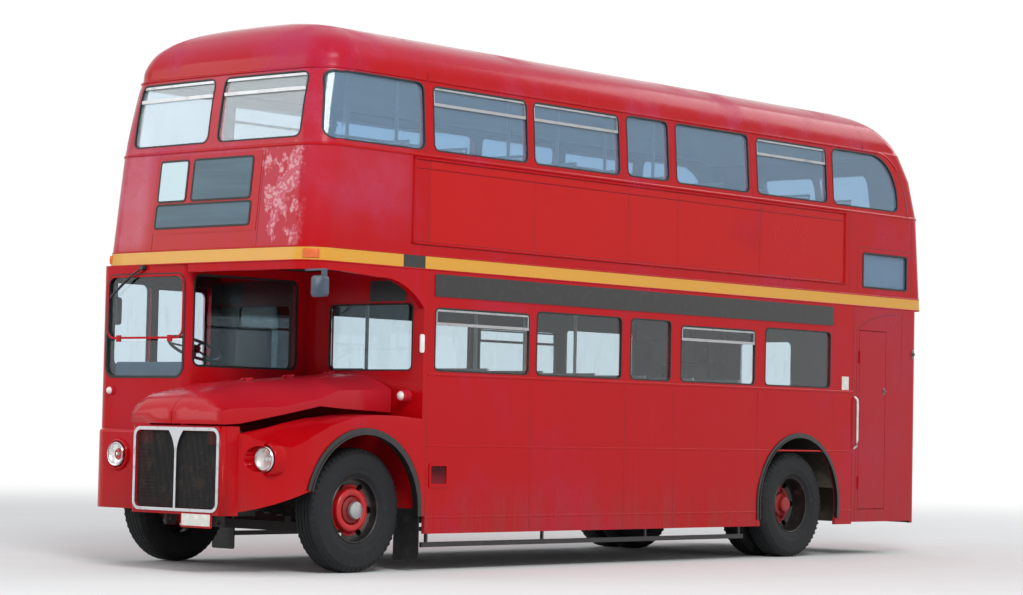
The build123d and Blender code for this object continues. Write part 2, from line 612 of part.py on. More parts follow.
# bright ring with the centre strip that widens to the top in two hollow curves
mid_x = (GRILLE_X0 + GRILLE_X1) / 2
ring = front_block(GRILLE_X0 + 32, GRILLE_X1 - 32, GRILLE_Y - TRIM_T, GRILLE_Y,
                   GRILLE_Z0 + 22, GRILLE_Z1 - 12, 70)
ring = ring - front_block(GRILLE_X0 + 58, GRILLE_X1 - 58, GRILLE_Y - 20, GRILLE_Y + 10,
                          GRILLE_Z0 + 45, GRILLE_Z1 - 38, 50)
strip_top = GRILLE_Z1 - 25
strip_neck = 900
half_top = STRIP_TOP_W / 2
half_bar = STRIP_W / 2
with BuildSketch(Plane(origin=(mid_x, GRILLE_Y, 0), x_dir=(1, 0, 0), z_dir=(0, -1, 0))) as sk:
    with BuildLine():
        Line((-half_top, strip_top), (half_top, strip_top))
        ThreePointArc((half_top, strip_top), (34, 1015), (half_bar, strip_neck))
        Line((half_bar, strip_neck), (half_bar, GRILLE_Z0 + 30))
        Line((half_bar, GRILLE_Z0 + 30), (-half_bar, GRILLE_Z0 + 30))
        Line((-half_bar, GRILLE_Z0 + 30), (-half_bar, strip_neck))
        ThreePointArc((-half_bar, strip_neck), (-34, 1015), (-half_top, strip_top))
    make_face()
nodes["grille_trim"] = ring + extrude(sk.sketch, TRIM_T)

# radiator: one core block on two side brackets to the surround
CORE_Y = GRILLE_Y + GRILLE_DEPTH + 20
core = box(GRILLE_X0 + 80, GRILLE_X1 - 80, CORE_Y, CORE_Y + 80, 570, GRILLE_Z1 - 30)
for x0, x1 in ((GRILLE_X0 + SHEET, GRILLE_X0 + 80), (GRILLE_X1 - 80, GRILLE_X1 - SHEET)):
    core = core + box(x0, x1, GRILLE_Y + GRILLE_DEPTH, CORE_Y + 10, 700, 1000)
nodes["radiator_core"] = core

# nearside wing: plan curve from the nose to the side, crown that falls outwards and forwards
WING_IN_X = GRILLE_X1
ARCH_HALF = 560
# y, height along the bonnet, height along the outer edge
WING_TOP = [
    (-1150, 1084, 925),
    (-950, 1120, 925),
    (-790, 1150, 945),
    (-620, 1178, 1050),
    (-400, 1208, 1150),
    (-150, 1228, 1216),
    (100, 1242, 1240),
    (350, 1242, 1236),
    (BULK_Y, 1236, 1217),
]


def wing_plan(inset, z0, z1):
    with BuildSketch(Plane.XY.offset(z0)) as sk:
        with BuildLine():
            Line((WING_IN_X, BULK_Y), (WING_IN_X, -1085 + 1.3 * inset))
            ThreePointArc((WING_IN_X, -1085 + 1.3 * inset),
                          (HALF_W - 124 - 0.75 * inset, -935 + 0.65 * inset),
                          (HALF_W - inset, -560))
            Line((HALF_W - inset, -560), (HALF_W - inset, BULK_Y))
            Line((HALF_W - inset, BULK_Y), (WING_IN_X, BULK_Y))
        make_face()
    return extrude(sk.sketch, z1 - z0)


def wing_crown(drop):
    """Solid under the top of the wing, ruled between its inner and outer height lines."""
    sides = []
    for x, column in ((WING_IN_X - 45, 1), (HALF_W + 21, 2)):
        pts = [(x, row[0], row[column] - drop) for row in WING_TOP]
        foot = (x, WING_TOP[0][0], 300)
        heel = (x, BULK_Y, 300)
        sides.append(make_face(Polyline(*pts, heel, foot, close=True)))
    return loft(sides, ruled=True)


outline = [(-1150, 1300), (BULK_Y, 1300), (BULK_Y, 440), (590, 440), (-640, 640), (-1120, 465), (-1150, 465)]
wing = wing_plan(0, 400, 1300) & wing_crown(0) & side_prism(outline, 800, FAR)
wing = wing - (wing_plan(SHEET, 400, 1300) & wing_crown(SHEET))
wing = wing - cylinder_x(800, FAR, 0, ARCH_Z, ARCH_R)
wing = wing - box(800, FAR, -ARCH_HALF, 600, 0, 520)
wing = wing - cylinder_y(LAMP_NEAR, LAMP_R + FIT, -200, 200)
nodes["wing_nearside"] = wing.solids().sort_by(SortBy.VOLUME)[-1]

# offside wing under the cab
with BuildSketch(Plane.XY.offset(OFF_WING_Z)) as sk:
    with Locations(((-HALF_W + GRILLE_X0) / 2, (OFF_FRONT_Y + BULK_Y) / 2)):
        Rectangle(HALF_W + GRILLE_X0, BULK_Y - OFF_FRONT_Y)
    fillet(sk.vertices().sort_by(Axis.Y)[0:2].sort_by(Axis.X)[0], OFF_CORNER_R)
off = extrude(sk.sketch, CAB_Z - OFF_WING_Z)
front_edges = off.faces().sort_by(Axis.Z)[-1].edges().sort_by(Axis.Y)[0:2]
off = fillet(front_edges, 30)
hollow = box(-HALF_W + SHEET + OFF_CORNER_R, 0, OFF_FRONT_Y + SHEET, BULK_Y + 10, 400, CAB_Z - SHEET)
hollow = hollow + box(-HALF_W + SHEET, 0, OFF_FRONT_Y + SHEET + OFF_CORNER_R, BULK_Y + 10, 400, CAB_Z - SHEET)
arch_x = 119 - HALF_W
off = off - hollow - cylinder_x(-FAR, arch_x, 0, TYRE_R, OFF_ARCH_R)
nodes["wing_offside"] = off - box(-FAR, arch_x, -ARCH_HALF, ARCH_HALF, 0, 500)

# headlamps: shells with a domed glass, seated in the wing and on the apron
lamps = []
for spot, back in ((LAMP_NEAR, 60), (LAMP_OFF, 0)):
    dome = Pos(*spot) * Pos(0, 150, 0) * Sphere(205)
    lamps.append(cylinder_y(spot, LAMP_R, -60, back) & (dome + cylinder_y(spot, LAMP_R, -20, back)))
nodes["headlamps"] = Compound(children=lamps)

# tyres
TYRE_PROFILE = [
    (-82, RIM_R),
    (-112, 300),
    (-TYRE_W / 2, 370),
    (-112, 440),
    (-92, TYRE_R - 12),
    (-70, TYRE_R),
    (70, TYRE_R),
    (92, TYRE_R - 12),
    (112, 440),
    (TYRE_W / 2, 370),
    (112, 300),
    (82, RIM_R),
]


def tyre(x, y):
    return ring_x(TYRE_PROFILE, x, y, TYRE_R)


def band(x, y):
    """Rim band with a turned lip on both edges."""
    half = RIM_W / 2
    return ring_x([(-half, RIM_R - 14), (-half - 6, RIM_R - 6), (-half, RIM_R - FIT), (half, RIM_R - FIT),
                   (half + 6, RIM_R - 6), (half, RIM_R - 14)], x, y, TYRE_R)


def disc_wheel(x, y, out, dish, hub_out, shaft):
    """Pressed disc wheel: band, coned disc with hand holes, studs and a stepped hub."""
    seat = out * dish
    edge = out * (dish + 30)
    disc = ring_x([(seat - out * 14, shaft), (seat - out * 14, 165), (edge - out * 14, 215),
                   (edge - out * 14, RIM_R - 10), (edge, RIM_R - 10), (edge, 218), (seat, 170),
                   (seat, shaft)], x, y, TYRE_R)
    for i in range(HAND_HOLES):
        a = 2 * math.pi * i / HAND_HOLES
        hole_y = y + HAND_HOLE_PCD / 2 * math.cos(a)
        hole_z = TYRE_R + HAND_HOLE_PCD / 2 * math.sin(a)
        disc = disc - cylinder_x(x - 100, x + 100, hole_y, hole_z, HAND_HOLE_R)
    for i in range(STUDS):
        a = 2 * math.pi * (i + 0.5) / STUDS
        stud_y = y + STUD_PCD / 2 * math.cos(a)
        stud_z = TYRE_R + STUD_PCD / 2 * math.sin(a)
        disc = disc + cylinder_x(x + seat, x + seat + out * 30, stud_y, stud_z, STUD_R)
    hub = ring_x([(seat - out * 70, shaft), (seat - out * 70, 150), (seat - out * 14, 150), (seat, 112),
                  (seat + out * 0.45 * hub_out, 104), (seat + out * 0.6 * hub_out, 78),
                  (seat + out * 0.92 * hub_out, 70), (seat + out * hub_out, 50), (seat + out * hub_out, 0.0),
                  (seat + out * (hub_out - 30), 0.0), (seat + out * (hub_out - 30), shaft)], x, y, TYRE_R)
    return band(x, y) + disc + hub


DRUM_R = 195
DRUM_X = TWIN_IN_X - 95
SPACER_R = 150
for side, s in (("nearside", 1), ("offside", -1)):
    nodes["tyre_front_" + side] = tyre(s * FRONT_X, 0)
    nodes["rim_front_" + side] = disc_wheel(s * FRONT_X, 0, s, 10, 95, STUB_R + FIT)
    twins = [tyre(s * TWIN_OUT_X, WHEELBASE), tyre(s * TWIN_IN_X, WHEELBASE)]
    nodes["tyres_rear_" + side] = Compound(children=twins)
    outer = disc_wheel(s * TWIN_OUT_X, WHEELBASE, s, -80, 120, AXLE_R + FIT)
    web_x = TWIN_IN_X + 45
    web = cylinder_x(s * web_x, s * (web_x + 16), WHEELBASE, TYRE_R, RIM_R - 10)
    drum = cylinder_x(s * DRUM_X, s * web_x, WHEELBASE, TYRE_R, DRUM_R)
    spacer = cylinder_x(s * (web_x + 16), s * (TWIN_OUT_X - 85), WHEELBASE, TYRE_R, SPACER_R)
    bore = cylinder_x(s * (DRUM_X - 160), s * (TWIN_OUT_X - 35), WHEELBASE, TYRE_R, AXLE_R + FIT)
    nodes["rims_rear_" + side] = (outer + band(s * TWIN_IN_X, WHEELBASE) + web + drum + spacer) - bore

# steering knuckles: kingpin, boss, stub axle
EYE_Z = (375, 449, 531, 605)
for side, s in (("nearside", 1), ("offside", -1)):
    pin = cylinder_z(s * KINGPIN_X, 0, EYE_Z[0], EYE_Z[3], PIN_R)
    boss = cylinder_z(s * KINGPIN_X, 0, EYE_Z[1] + 1, EYE_Z[2] - 1, 46)
    nodes["knuckle_" + side] = pin + boss + cylinder_x(s * KINGPIN_X, s * (FRONT_X + 35), 0, TYRE_R, STUB_R)

# front axle beam with forked ends and spring pads
BEAM_Z = 300
PAD_Z = 420
axle = box(50 - KINGPIN_X, KINGPIN_X - 50, -45, 45, BEAM_Z, EYE_Z[0])
for s in (1, -1):
    x0, x1 = sorted((s * (KINGPIN_X - 115), s * (KINGPIN_X - 65)))
    end = box(x0, x1, -45, 45, BEAM_Z, EYE_Z[3])
    for z0, z1 in (EYE_Z[0:2], EYE_Z[2:4]):
        x0, x1 = sorted((s * (KINGPIN_X - 100), s * KINGPIN_X))
        end = end + cylinder_z(s * KINGPIN_X, 0, z0, z1, 52) + box(x0, x1, -40, 40, z0, z1)
    axle = axle + (end - cylinder_z(s * KINGPIN_X, 0, 370, 610, PIN_R + FIT))
    x0, x1 = sorted((s * (RAIL_X0 + 5), s * (RAIL_X1 - 5)))
    axle = axle + box(x0, x1, -45, 45, EYE_Z[0], PAD_Z)
nodes["front_axle"] = axle

# rear axle: tube, differential with its snout, spring pads outside the rails
DIFF_Z = 430
DIFF_R = 150
SNOUT_Y = WHEELBASE - 260
REAR_SPRING_X = 510
REAR_PAD_Z = 560
thick = DRUM_X - 5
axle = cylinder_x(-thick, thick, WHEELBASE, TYRE_R, 65)
axle = axle + cylinder_x(45 - TWIN_OUT_X, TWIN_OUT_X - 45, WHEELBASE, TYRE_R, AXLE_R)
axle = axle + Pos(0, WHEELBASE, DIFF_Z) * Sphere(DIFF_R) + cylinder_y((0, WHEELBASE, DIFF_Z), 62, -260, 0)
for s in (1, -1):
    axle = axle + box(s * REAR_SPRING_X - 40, s * REAR_SPRING_X + 40, WHEELBASE - 45, WHEELBASE + 45,
                      TYRE_R + 20, REAR_PAD_Z)
nodes["rear_axle"] = axle


def leaf_spring(x, y, seat_z, camber):
    """Leaves of growing length, arched about the axle pad, with a rolled eye at both ends."""
    spring = None
    for i in range(LEAVES):
        half = SPRING_HALF * (i + 1) / LEAVES
        rise = camber * (half / SPRING_HALF) ** 2
        z0 = seat_z + i * LEAF_T
        with BuildSketch(Plane(origin=(x - SPRING_W / 2, y, 0), x_dir=(0, 1, 0), z_dir=(1, 0, 0))) as sk:
            with BuildLine():
                ThreePointArc((-half, z0 + rise), (0, z0), (half, z0 + rise))
                Line((half, z0 + rise), (half, z0 + rise + LEAF_T + 1))
                ThreePointArc((half, z0 + rise + LEAF_T + 1), (0, z0 + LEAF_T + 1),
                              (-half, z0 + rise + LEAF_T + 1))
                Line((-half, z0 + rise + LEAF_T + 1), (-half, z0 + rise))
            make_face()
        leaf = extrude(sk.sketch, SPRING_W)
        spring = leaf if spring is None else spring + leaf
    eye_z = seat_z + (LEAVES - 0.5) * LEAF_T + camber
    for s in (1, -1):
        spring = spring + cylinder_x(x - SPRING_W / 2, x + SPRING_W / 2, y + s * SPRING_HALF, eye_z, EYE_R)
    return spring


EYE_R = 20
FRONT_CAMBER = 36
REAR_CAMBER = 8
rail_mid = (RAIL_X0 + RAIL_X1) / 2
springs = []
for s in (1, -1):
    springs.append(leaf_spring(s * rail_mid, 0, PAD_Z, FRONT_CAMBER))
    springs.append(leaf_spring(s * REAR_SPRING_X, WHEELBASE, REAR_PAD_Z, REAR_CAMBER))
nodes["leaf_springs"] = Compound(children=springs)

# chassis rails: shallow over both axles, deep between them, with spring hangers
RAIL_TOP = FLOOR_UNDER
RAIL_LINE = [
    (RAIL_FRONT_Y, RAIL_TOP), (RAIL_FRONT_Y, RAIL_SHALLOW_Z), (700, RAIL_SHALLOW_Z), (1000, RAIL_DEEP_Z),
    (WHEELBASE - 992, RAIL_DEEP_Z), (WHEELBASE - 642, REAR_PAD_Z + 14), (RAIL_REAR_Y, REAR_PAD_Z + 14),
    (RAIL_REAR_Y, RAIL_TOP),
]


def hanger(x0, x1, axle_y, way, eye_z, top):
    """Block over one spring eye, cut back on the side where the top leaf leaves the eye."""
    at = axle_y + way * SPRING_HALF
    inner = sorted((at, at - way * 40))
    block = box(x0, x1, at - 30, at + 30, eye_z, top)
    block = block - box(x0, x1, inner[0], inner[1], eye_z - 1, eye_z + LEAF_T - 4)
    return block - cylinder_x(x0, x1, at, eye_z, EYE_R + FIT)


front_eye = PAD_Z + (LEAVES - 0.5) * LEAF_T + FRONT_CAMBER
rear_eye = REAR_PAD_Z + (LEAVES - 0.5) * LEAF_T + REAR_CAMBER
rails = []
for s in (1, -1):
    x0, x1 = sorted((s * RAIL_X0, s * RAIL_X1))
    rail = side_prism(RAIL_LINE, x0, x1)
    out = sorted((s * RAIL_X1, s * (REAR_SPRING_X + SPRING_W / 2)))
    for way in (-1, 1):
        rail = rail + hanger(x0, x1, 0, way, front_eye, RAIL_SHALLOW_Z)
        rail = rail + hanger(out[0], out[1], WHEELBASE, way, rear_eye, RAIL_TOP)
    rails.append(rail)

# crossmembers, and the frame under the nose with its two towing eyes
CROSS_Z = 500
ENGINE_Z = 560
members = rails
members.append(box(-RAIL_X0, RAIL_X0, 330, 400, CROSS_Z - 20, ENGINE_Z))
for y in (1400, 2600, along(3800), WHEELBASE - 1142):
    members.append(box(-RAIL_X0, RAIL_X0, y, y + 70, CROSS_Z, RAIL_TOP - 5))
members.append(box(-RAIL_X0, RAIL_X0, RAIL_REAR_Y - 80, RAIL_REAR_Y, REAR_PAD_Z + 20, RAIL_TOP - 5))
HORNS = (80, 640)
HORN_W = 60
nose_y = OFF_FRONT_Y + SHEET
nose = box(-RAIL_X1, HORNS[1] + HORN_W, nose_y, RAIL_FRONT_Y, 440, ENGINE_Z)
for s in (1, -1):
    x0, x1 = sorted((s * RAIL_X0, s * RAIL_X1))
    nose = nose + box(x0, x1, nose_y, RAIL_FRONT_Y, ENGINE_Z, RAIL_TOP)
nose = nose + box(HORNS[0], HORNS[1] + HORN_W, TOW_Y + 6, TOW_Y + 66, 440, 560)
for x in HORNS:
    nose = nose + box(x, x + HORN_W, TOW_Y + 6, RAIL_FRONT_Y, 440, 560)
    lug = box(x + 15, x + 15 + TOW_T, TOW_Y - 34, TOW_Y + 60, TOW_Z - 34, 440)
    nose = nose + (lug - cylinder_x(x, x + HORN_W, TOW_Y, TOW_Z, TOW_R))
members.append(nose)
nodes["chassis_frame"] = Compound(children=members)

# engine on the front crossmembers; gearbox, shaft, fuel tank
nodes["engine_block"] = box(-80, RAIL_X0 - 10, -900, 400, ENGINE_Z, 1090)
GEARBOX = (-130, 130, 1700, 2500, 330, CROSS_Z + 100)
line = box(*GEARBOX) + box(GEARBOX[0] + 40, GEARBOX[1] - 40, 1470, 1700, 420, CROSS_Z + 60)
line = line + box(GEARBOX[0] + 40, GEARBOX[1] - 40, 2500, 2600, 420, CROSS_Z + 60)
nodes["gearbox"] = Compound(children=[line, cylinder_y((0, 2600, DIFF_Z), 38, 0, SNOUT_Y - 2600)])
tank = box(139 - HALF_W, 699 - HALF_W, 2700, 3700, 330, 590)
tank = fillet(tank.edges().filter_by(Axis.Y), 60)
for y in (2850, 3500):
    tank = tank + box(159 - HALF_W, 679 - HALF_W, y, y + 50, 560, FLOOR_UNDER)
nodes["fuel_tank"] = tank


def back_line(y, height):
    """How far back the raked rear face of a seat back lies at a height above the floor."""
    return y + 410 + 0.13 * height


def seat(x0, x1, y, floor):
    """Double seat: cushion and raked back as two closed pads."""
    top = floor + SEAT_H
    cushion = box(x0, x1, y, y + 420, top - PAD_T + FIT, top)
    cushion = fillet(cushion.edges().filter_by(Axis.X).sort_by(Axis.Y)[0:2], 30)
    foot = back_line(y, SEAT_H + 5)
    crown = back_line(y, BACK_TOP)
    back = side_prism([(foot - BACK_T, top + 5), (foot, top + 5), (crown, floor + BACK_TOP),
                       (crown - BACK_T + 10, floor + BACK_TOP)], x0, x1)
    back = fillet(back.edges().filter_by(Axis.X).sort_by(Axis.Z)[-2:], 22)
    return [cushion, back]


def seat_frame(x0, x1, y, floor, wall):
    """Tray from the wall to one pedestal, and a hoop that carries the back."""
    top = floor + SEAT_H - PAD_T
    a, b = sorted((wall, x0 if abs(x0) < abs(x1) else x1))
    tray = box(a, b, y + 20, y + 480, top - 14, top)
    inner = x0 if abs(x0) < abs(x1) else x1
    s = 1 if inner > 0 else -1
    foot = box(inner + s * 60 - 15, inner + s * 60 + 15, y + 120, y + 400, floor, top - 14)
    frame = [tray, foot]
    hoop = None
    for x in (x0 + 14, x1 - 14):
        run = Vector(0, 62, BACK_TOP - SEAT_H + PAD_T + 14)
        start = Vector(x, y + 466, top)
        bar = Plane(origin=start + run / 2, z_dir=run) * Cylinder(11, run.length)
        hoop = bar if hoop is None else hoop + bar
    end = Vector(0, y + 530, top + BACK_TOP - SEAT_H + PAD_T + 14)
    hoop = hoop + cylinder_x(x0 + 3, x1 - 3, end.Y, end.Z, 13)
    low = back_line(y, 0) + FIT
    high = back_line(y, BACK_TOP) + FIT
    pads = side_prism([(y, floor), (low, floor), (high, floor + BACK_TOP), (high, floor + BACK_TOP + 8),
                       (y, floor + BACK_TOP + 8)], x0 - 5, x1 + 5)
    hoop = (hoop - pads) & box(x0, x1, y, y + 700, top, floor + 1200)
    return frame + list(hoop.solids())


def seat_rows(first, pitch, count, floor, skip_from):
    pads = []
    frames = []
    for i in range(count):
        y = first + i * pitch
        for x0, x1, wall in ((INNER - SEAT_W, INNER - 20, INNER), (-INNER + 20, -INNER + SEAT_W, -INNER)):
            if x0 < 0 and y > skip_from:
                continue
            pads += seat(x0, x1, y, floor)
            frames += seat_frame(x0, x1, y, floor, wall)
    return pads, frames


LOWER_FIRST = SIDE_Y + 287
LOWER_ROWS = 6
UPPER_FIRST = -60
UPPER_ROWS = 10
lower_pitch = (WHEELBASE - BOX_HALF_Y - 52 - LOWER_FIRST) / LOWER_ROWS
upper_pitch = (WHEELBASE + 398 - UPPER_FIRST) / (UPPER_ROWS - 1)
pads, frames = seat_rows(LOWER_FIRST, lower_pitch, LOWER_ROWS, FLOOR_Z, REAR_Y)
# inward-facing benches on the wheel boxes
BENCH_Y0 = WHEELBASE - BOX_HALF_Y + 15
BENCH_COUNT = 3
BENCH_PITCH = (2 * BOX_HALF_Y - 35) / BENCH_COUNT
for s in (1, -1):
    for i in range(BENCH_COUNT):
        y0 = BENCH_Y0 + i * BENCH_PITCH
        x0, x1 = sorted((s * (INNER_X - FIT), s * (INNER_X - 450)))
        pads.append(box(x0, x1, y0, y0 + BENCH_PITCH - 10, WHEEL_BOX_Z + FIT, WHEEL_BOX_Z + 90))
        x0, x1 = sorted((s * (INNER_X - FIT), s * (INNER_X - 75)))
        pads.append(box(x0, x1, y0, y0 + BENCH_PITCH - 10, WHEEL_BOX_Z + 90 + FIT, SILL_Z - 20))
nodes["seats_lower"] = Compound(children=pads)
nodes["seat_frames_lower"] = Compound(children=frames)
pads, frames = seat_rows(UPPER_FIRST, upper_pitch, UPPER_ROWS, UPPER_FLOOR_Z, WELL_Y0 - 790)
nodes["seats_upper"] = Compound(children=pads)
nodes["seat_frames_upper"] = Compound(children=frames)

# winding stairs: two steps towards the offside, three winders round a newel, four forwards
RISE = (UPPER_FLOOR_Z - PLATFORM_Z) / 10
STAIR_X0 = -INNER + 30
STAIR_Y1 = REAR_PANEL_Y - 100
TURN_Y = STAIR_Y1 - 660
NEWEL = (-556, TURN_Y)
TREADS = [
    [(-120, TURN_Y), (-120, STAIR_Y1), (-360, STAIR_Y1), (-360, TURN_Y)],
    [(-340, TURN_Y), (-340, STAIR_Y1), (-560, STAIR_Y1), (-560, TURN_Y)],
    [(-540, TURN_Y), (-540, STAIR_Y1), (-800, STAIR_Y1), (-580, TURN_Y)],
    [NEWEL, (-780, STAIR_Y1), (STAIR_X0, STAIR_Y1), (STAIR_X0, TURN_Y + 540)],
    [NEWEL, (STAIR_X0, TURN_Y + 580), (STAIR_X0, TURN_Y + 220)],
    [(NEWEL[0], TURN_Y + 20), (STAIR_X0, TURN_Y + 250), (STAIR_X0, TURN_Y - 40), (NEWEL[0], TURN_Y - 40)],
    [(NEWEL[0], TURN_Y - 20), (STAIR_X0, TURN_Y - 20), (STAIR_X0, TURN_Y - 260), (NEWEL[0], TURN_Y - 260)],
    [(NEWEL[0], TURN_Y - 240), (STAIR_X0, TURN_Y - 240), (STAIR_X0, TURN_Y - 480), (NEWEL[0], TURN_Y - 480)],
    [(NEWEL[0], TURN_Y - 460), (STAIR_X0, TURN_Y - 460), (STAIR_X0, WELL_Y0), (NEWEL[0], WELL_Y0)],
]
steps = []
for i, outline in enumerate(TREADS):
    top = PLATFORM_Z + (i + 1) * RISE
    face = Plane.XY.offset(top - RISE) * make_face(Polyline(*outline, close=True))
    steps.append(extrude(face, RISE))
stairs = cylinder_z(NEWEL[0], NEWEL[1], PLATFORM_Z, DECK_Z + 5, 26)
for step in steps:
    stairs = stairs + step
GUARD_T = 12
guard = box(WELL_X, WELL_X + GUARD_T, WELL_Y0, WELL_Y1 - 60, UPPER_FLOOR_Z, UPPER_FLOOR_Z + 850)
nodes["staircase"] = Compound(children=[stairs, guard])

# grab poles from floor to ceiling beside the gangways
POLE_R = 16
POLE_X = 292
lower_poles = []
upper_poles = []
BEHIND_SEAT = 570
for row in (0, 2, 4):
    y = LOWER_FIRST + row * lower_pitch + BEHIND_SEAT
    for s in (1, -1):
        lower_poles.append(cylinder_z(s * POLE_X, y, FLOOR_Z, DECK_Z + 5, POLE_R))
for row in (1, 4, 6):
    y = UPPER_FIRST + row * upper_pitch + BEHIND_SEAT
    for s in (1, -1):
        pole = cylinder_z(s * POLE_X, y, UPPER_FLOOR_Z, ROOF_Z - ROOF_T + 5, POLE_R)
        upper_poles.append(pole & roof_inner.fuse(box(-FAR, FAR, -900, BEHIND, DECK_Z, GUTTER_Z)))
lower_poles.append(cylinder_z(HALF_W - 129, ENTRY_Y + 67, PLATFORM_Z, DECK_Z + 5, POLE_R))
nodes["grab_poles"] = Compound(children=lower_poles + upper_poles)

# driver's place
nodes["driver_seat"] = Compound(children=[
    fillet(box(-890, -450, 110, 520, 1400 + FIT, 1500).edges().filter_by(Axis.X), 30),
    fillet(box(-870, -470, 500, 570, 1510, 1960).edges().filter_by(Axis.X), 25),
])
base = box(-800, -540, 200, 480, CAB_Z + CAB_FLOOR_T, 1400) + box(-720, -620, 480, 585, 1300, 1400)
base = base + box(-720, -620, 570 + FIT, 585, 1400, 1900)
deck = box(-HALF_W + CAB_T, CAB_NEAR_X - CAB_T, -535, BULK_Y, CAB_Z, CAB_Z + CAB_FLOOR_T)
nodes["cab_floor"] = Compound(children=[deck, base])
WHEEL_TILT = math.radians(25)
axis_dir = Vector(0, math.sin(WHEEL_TILT), math.cos(WHEEL_TILT))
HUB_AT = Vector(-670, -130, 1760)
COLUMN_R = 28
SHAFT_R = 12
column = Plane(origin=HUB_AT - axis_dir * 400, z_dir=axis_dir) * Cylinder(COLUMN_R, 720)
shaft = Plane(origin=HUB_AT - axis_dir * 25, z_dir=axis_dir) * Cylinder(SHAFT_R, 40)
nodes["steering_column"] = (column + shaft) & box(-900, -400, -700, 400, CAB_Z + CAB_FLOOR_T, 1800)
hub_plane = Plane(origin=HUB_AT, z_dir=axis_dir)
wheel = hub_plane * (Torus(220, 13) + Cylinder(45, 40))
wheel = wheel - hub_plane * Pos(0, 0, -18) * Cylinder(SHAFT_R + FIT, 40)
for a in (0, 120, 240):
    wheel = wheel + hub_plane * Rot(0, 0, a) * Pos(130, 0, 0) * Box(190, 22, 10)
nodes["steering_wheel"] = wheel

# lifeguard rails under both sides
GUARD_X = HALF_W - 69
GUARD_END = WHEELBASE - 792
rails = []
for s in (1, -1):
    rails.append(box(s * GUARD_X - 12, s * GUARD_X + 12, 700, GUARD_END, 190, 230))
    for y in (760, 2200, 3600, GUARD_END - 60):
        rails.append(box(s * GUARD_X - 10, s * GUARD_X + 10, y - 12, y + 12, 230, FLOOR_UNDER))
nodes["lifeguard_rails"] = Compound(children=rails)

# mirrors on their arms
ARM_X = HALF_W + 116
HEAD_X = (HALF_W + 43, HALF_W + 181)
arm = box(HALF_W - 99, ARM_X, -640, -610, 2335, CANOPY_Z) + box(ARM_X - 15, ARM_X, -660, -610, 2270, 2335)
near = arm + front_block(HEAD_X[0], HEAD_X[1], -700, -655, 2130, 2290, 30)
arm = box(-ARM_X, -HALF_W, -425, -410, 2320, 2335) + box(-ARM_X, 15 - ARM_X, -425, -410, 2150, 2320)
off = arm + front_block(-HEAD_X[1], -HEAD_X[0], -460, -415, 1950, 2180, 30)
nodes["mirrors"] = Compound(children=[near, off])

os.makedirs("parts", exist_ok=True)
for name, shape in nodes.items():
    solids = [Pos(0, -MID_Y, 0) * s for s in shape.solids()]
    export_step(Compound(label=name, children=solids), "parts/" + name + ".step")
    print(name, len(solids))
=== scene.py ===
import math

import bmesh
import bpy
from bpy.props import FloatProperty, FloatVectorProperty, IntProperty, PointerProperty
from bpy.types import Operator, Panel, PropertyGroup
from mathutils import Matrix, Vector


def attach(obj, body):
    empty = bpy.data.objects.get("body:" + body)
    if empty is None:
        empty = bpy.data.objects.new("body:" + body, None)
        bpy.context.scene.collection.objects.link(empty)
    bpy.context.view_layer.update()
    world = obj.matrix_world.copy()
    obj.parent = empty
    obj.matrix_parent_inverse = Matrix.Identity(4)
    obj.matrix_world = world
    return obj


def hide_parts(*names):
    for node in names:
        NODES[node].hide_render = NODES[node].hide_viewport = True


bl_info = {
    "name": "Half-cab double decker bus",
    "version": (1, 0, 0),
    "blender": (4, 5, 0),
    "location": "3D View > Sidebar > Bus",
    "description": "Dresses the bus: paint, glass, trims, lamps, tyres, seats and stage",
    "category": "Object",
}

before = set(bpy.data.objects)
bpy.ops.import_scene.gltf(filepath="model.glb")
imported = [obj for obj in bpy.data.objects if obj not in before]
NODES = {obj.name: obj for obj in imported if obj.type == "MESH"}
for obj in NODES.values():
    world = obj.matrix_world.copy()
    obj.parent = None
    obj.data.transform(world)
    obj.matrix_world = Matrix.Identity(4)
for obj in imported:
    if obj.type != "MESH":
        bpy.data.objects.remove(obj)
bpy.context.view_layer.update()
BODY = "bus_body"

# positions below are in metres with Y counted from the front axle; piece() shifts them to the shared frame
AXLE_Y = 3.359
WHEELBASE = 5.842
HALF_W = 1.219
WHEEL_Z = 0.490
# flat faces: panel over the windscreen, wall before the saloon, wall beside the driver's seat
SCREEN_Y = -0.705
BULKHEAD_Y = 0.613
CAB_WALL_X = -0.130

# sections of the upper body skin: z, half width, front, rear, bow front, bow rear, corner front, corner rear
SKIN = [
    (2.420, 1.219, -0.715, 7.980, 0.035, 0.030, 0.200, 0.090),
    (3.330, 1.219, -0.618, 7.940, 0.035, 0.035, 0.240, 0.160),
    (3.700, 1.196, -0.568, 7.863, 0.038, 0.035, 0.280, 0.200),
    (3.945, 1.178, -0.520, 7.720, 0.040, 0.035, 0.300, 0.240),
]
# windows: y0, y1, z0, z1, corner radius, radius of the upper rear corner, lean of the front edge
UPPER_LIGHTS = [
    (-0.515, 0.585, 3.375, 3.917, 0.070, 0.070, 0.078),
    (0.694, 1.850, 3.380, 3.902, 0.055, 0.055),
    (1.938, 3.082, 3.380, 3.902, 0.055, 0.055),
    (3.190, 3.780, 3.385, 3.915, 0.055, 0.055),
    (3.890, 4.990, 3.380, 3.915, 0.055, 0.055),
    (5.120, 6.255, 3.380, 3.902, 0.055, 0.055),
    (6.360, 7.480, 3.378, 3.917, 0.070, 0.430),
]
LOWER_LIGHTS = [
    (0.746, 1.905, 1.608, 2.112, 0.045, 0.045),
    (2.004, 3.140, 1.608, 2.138, 0.045, 0.045),
    (3.268, 3.840, 1.608, 2.138, 0.045, 0.045),
    (3.990, 5.110, 1.608, 2.105, 0.045, 0.045),
    (5.275, 6.340, 1.608, 2.138, 0.045, 0.045),
]
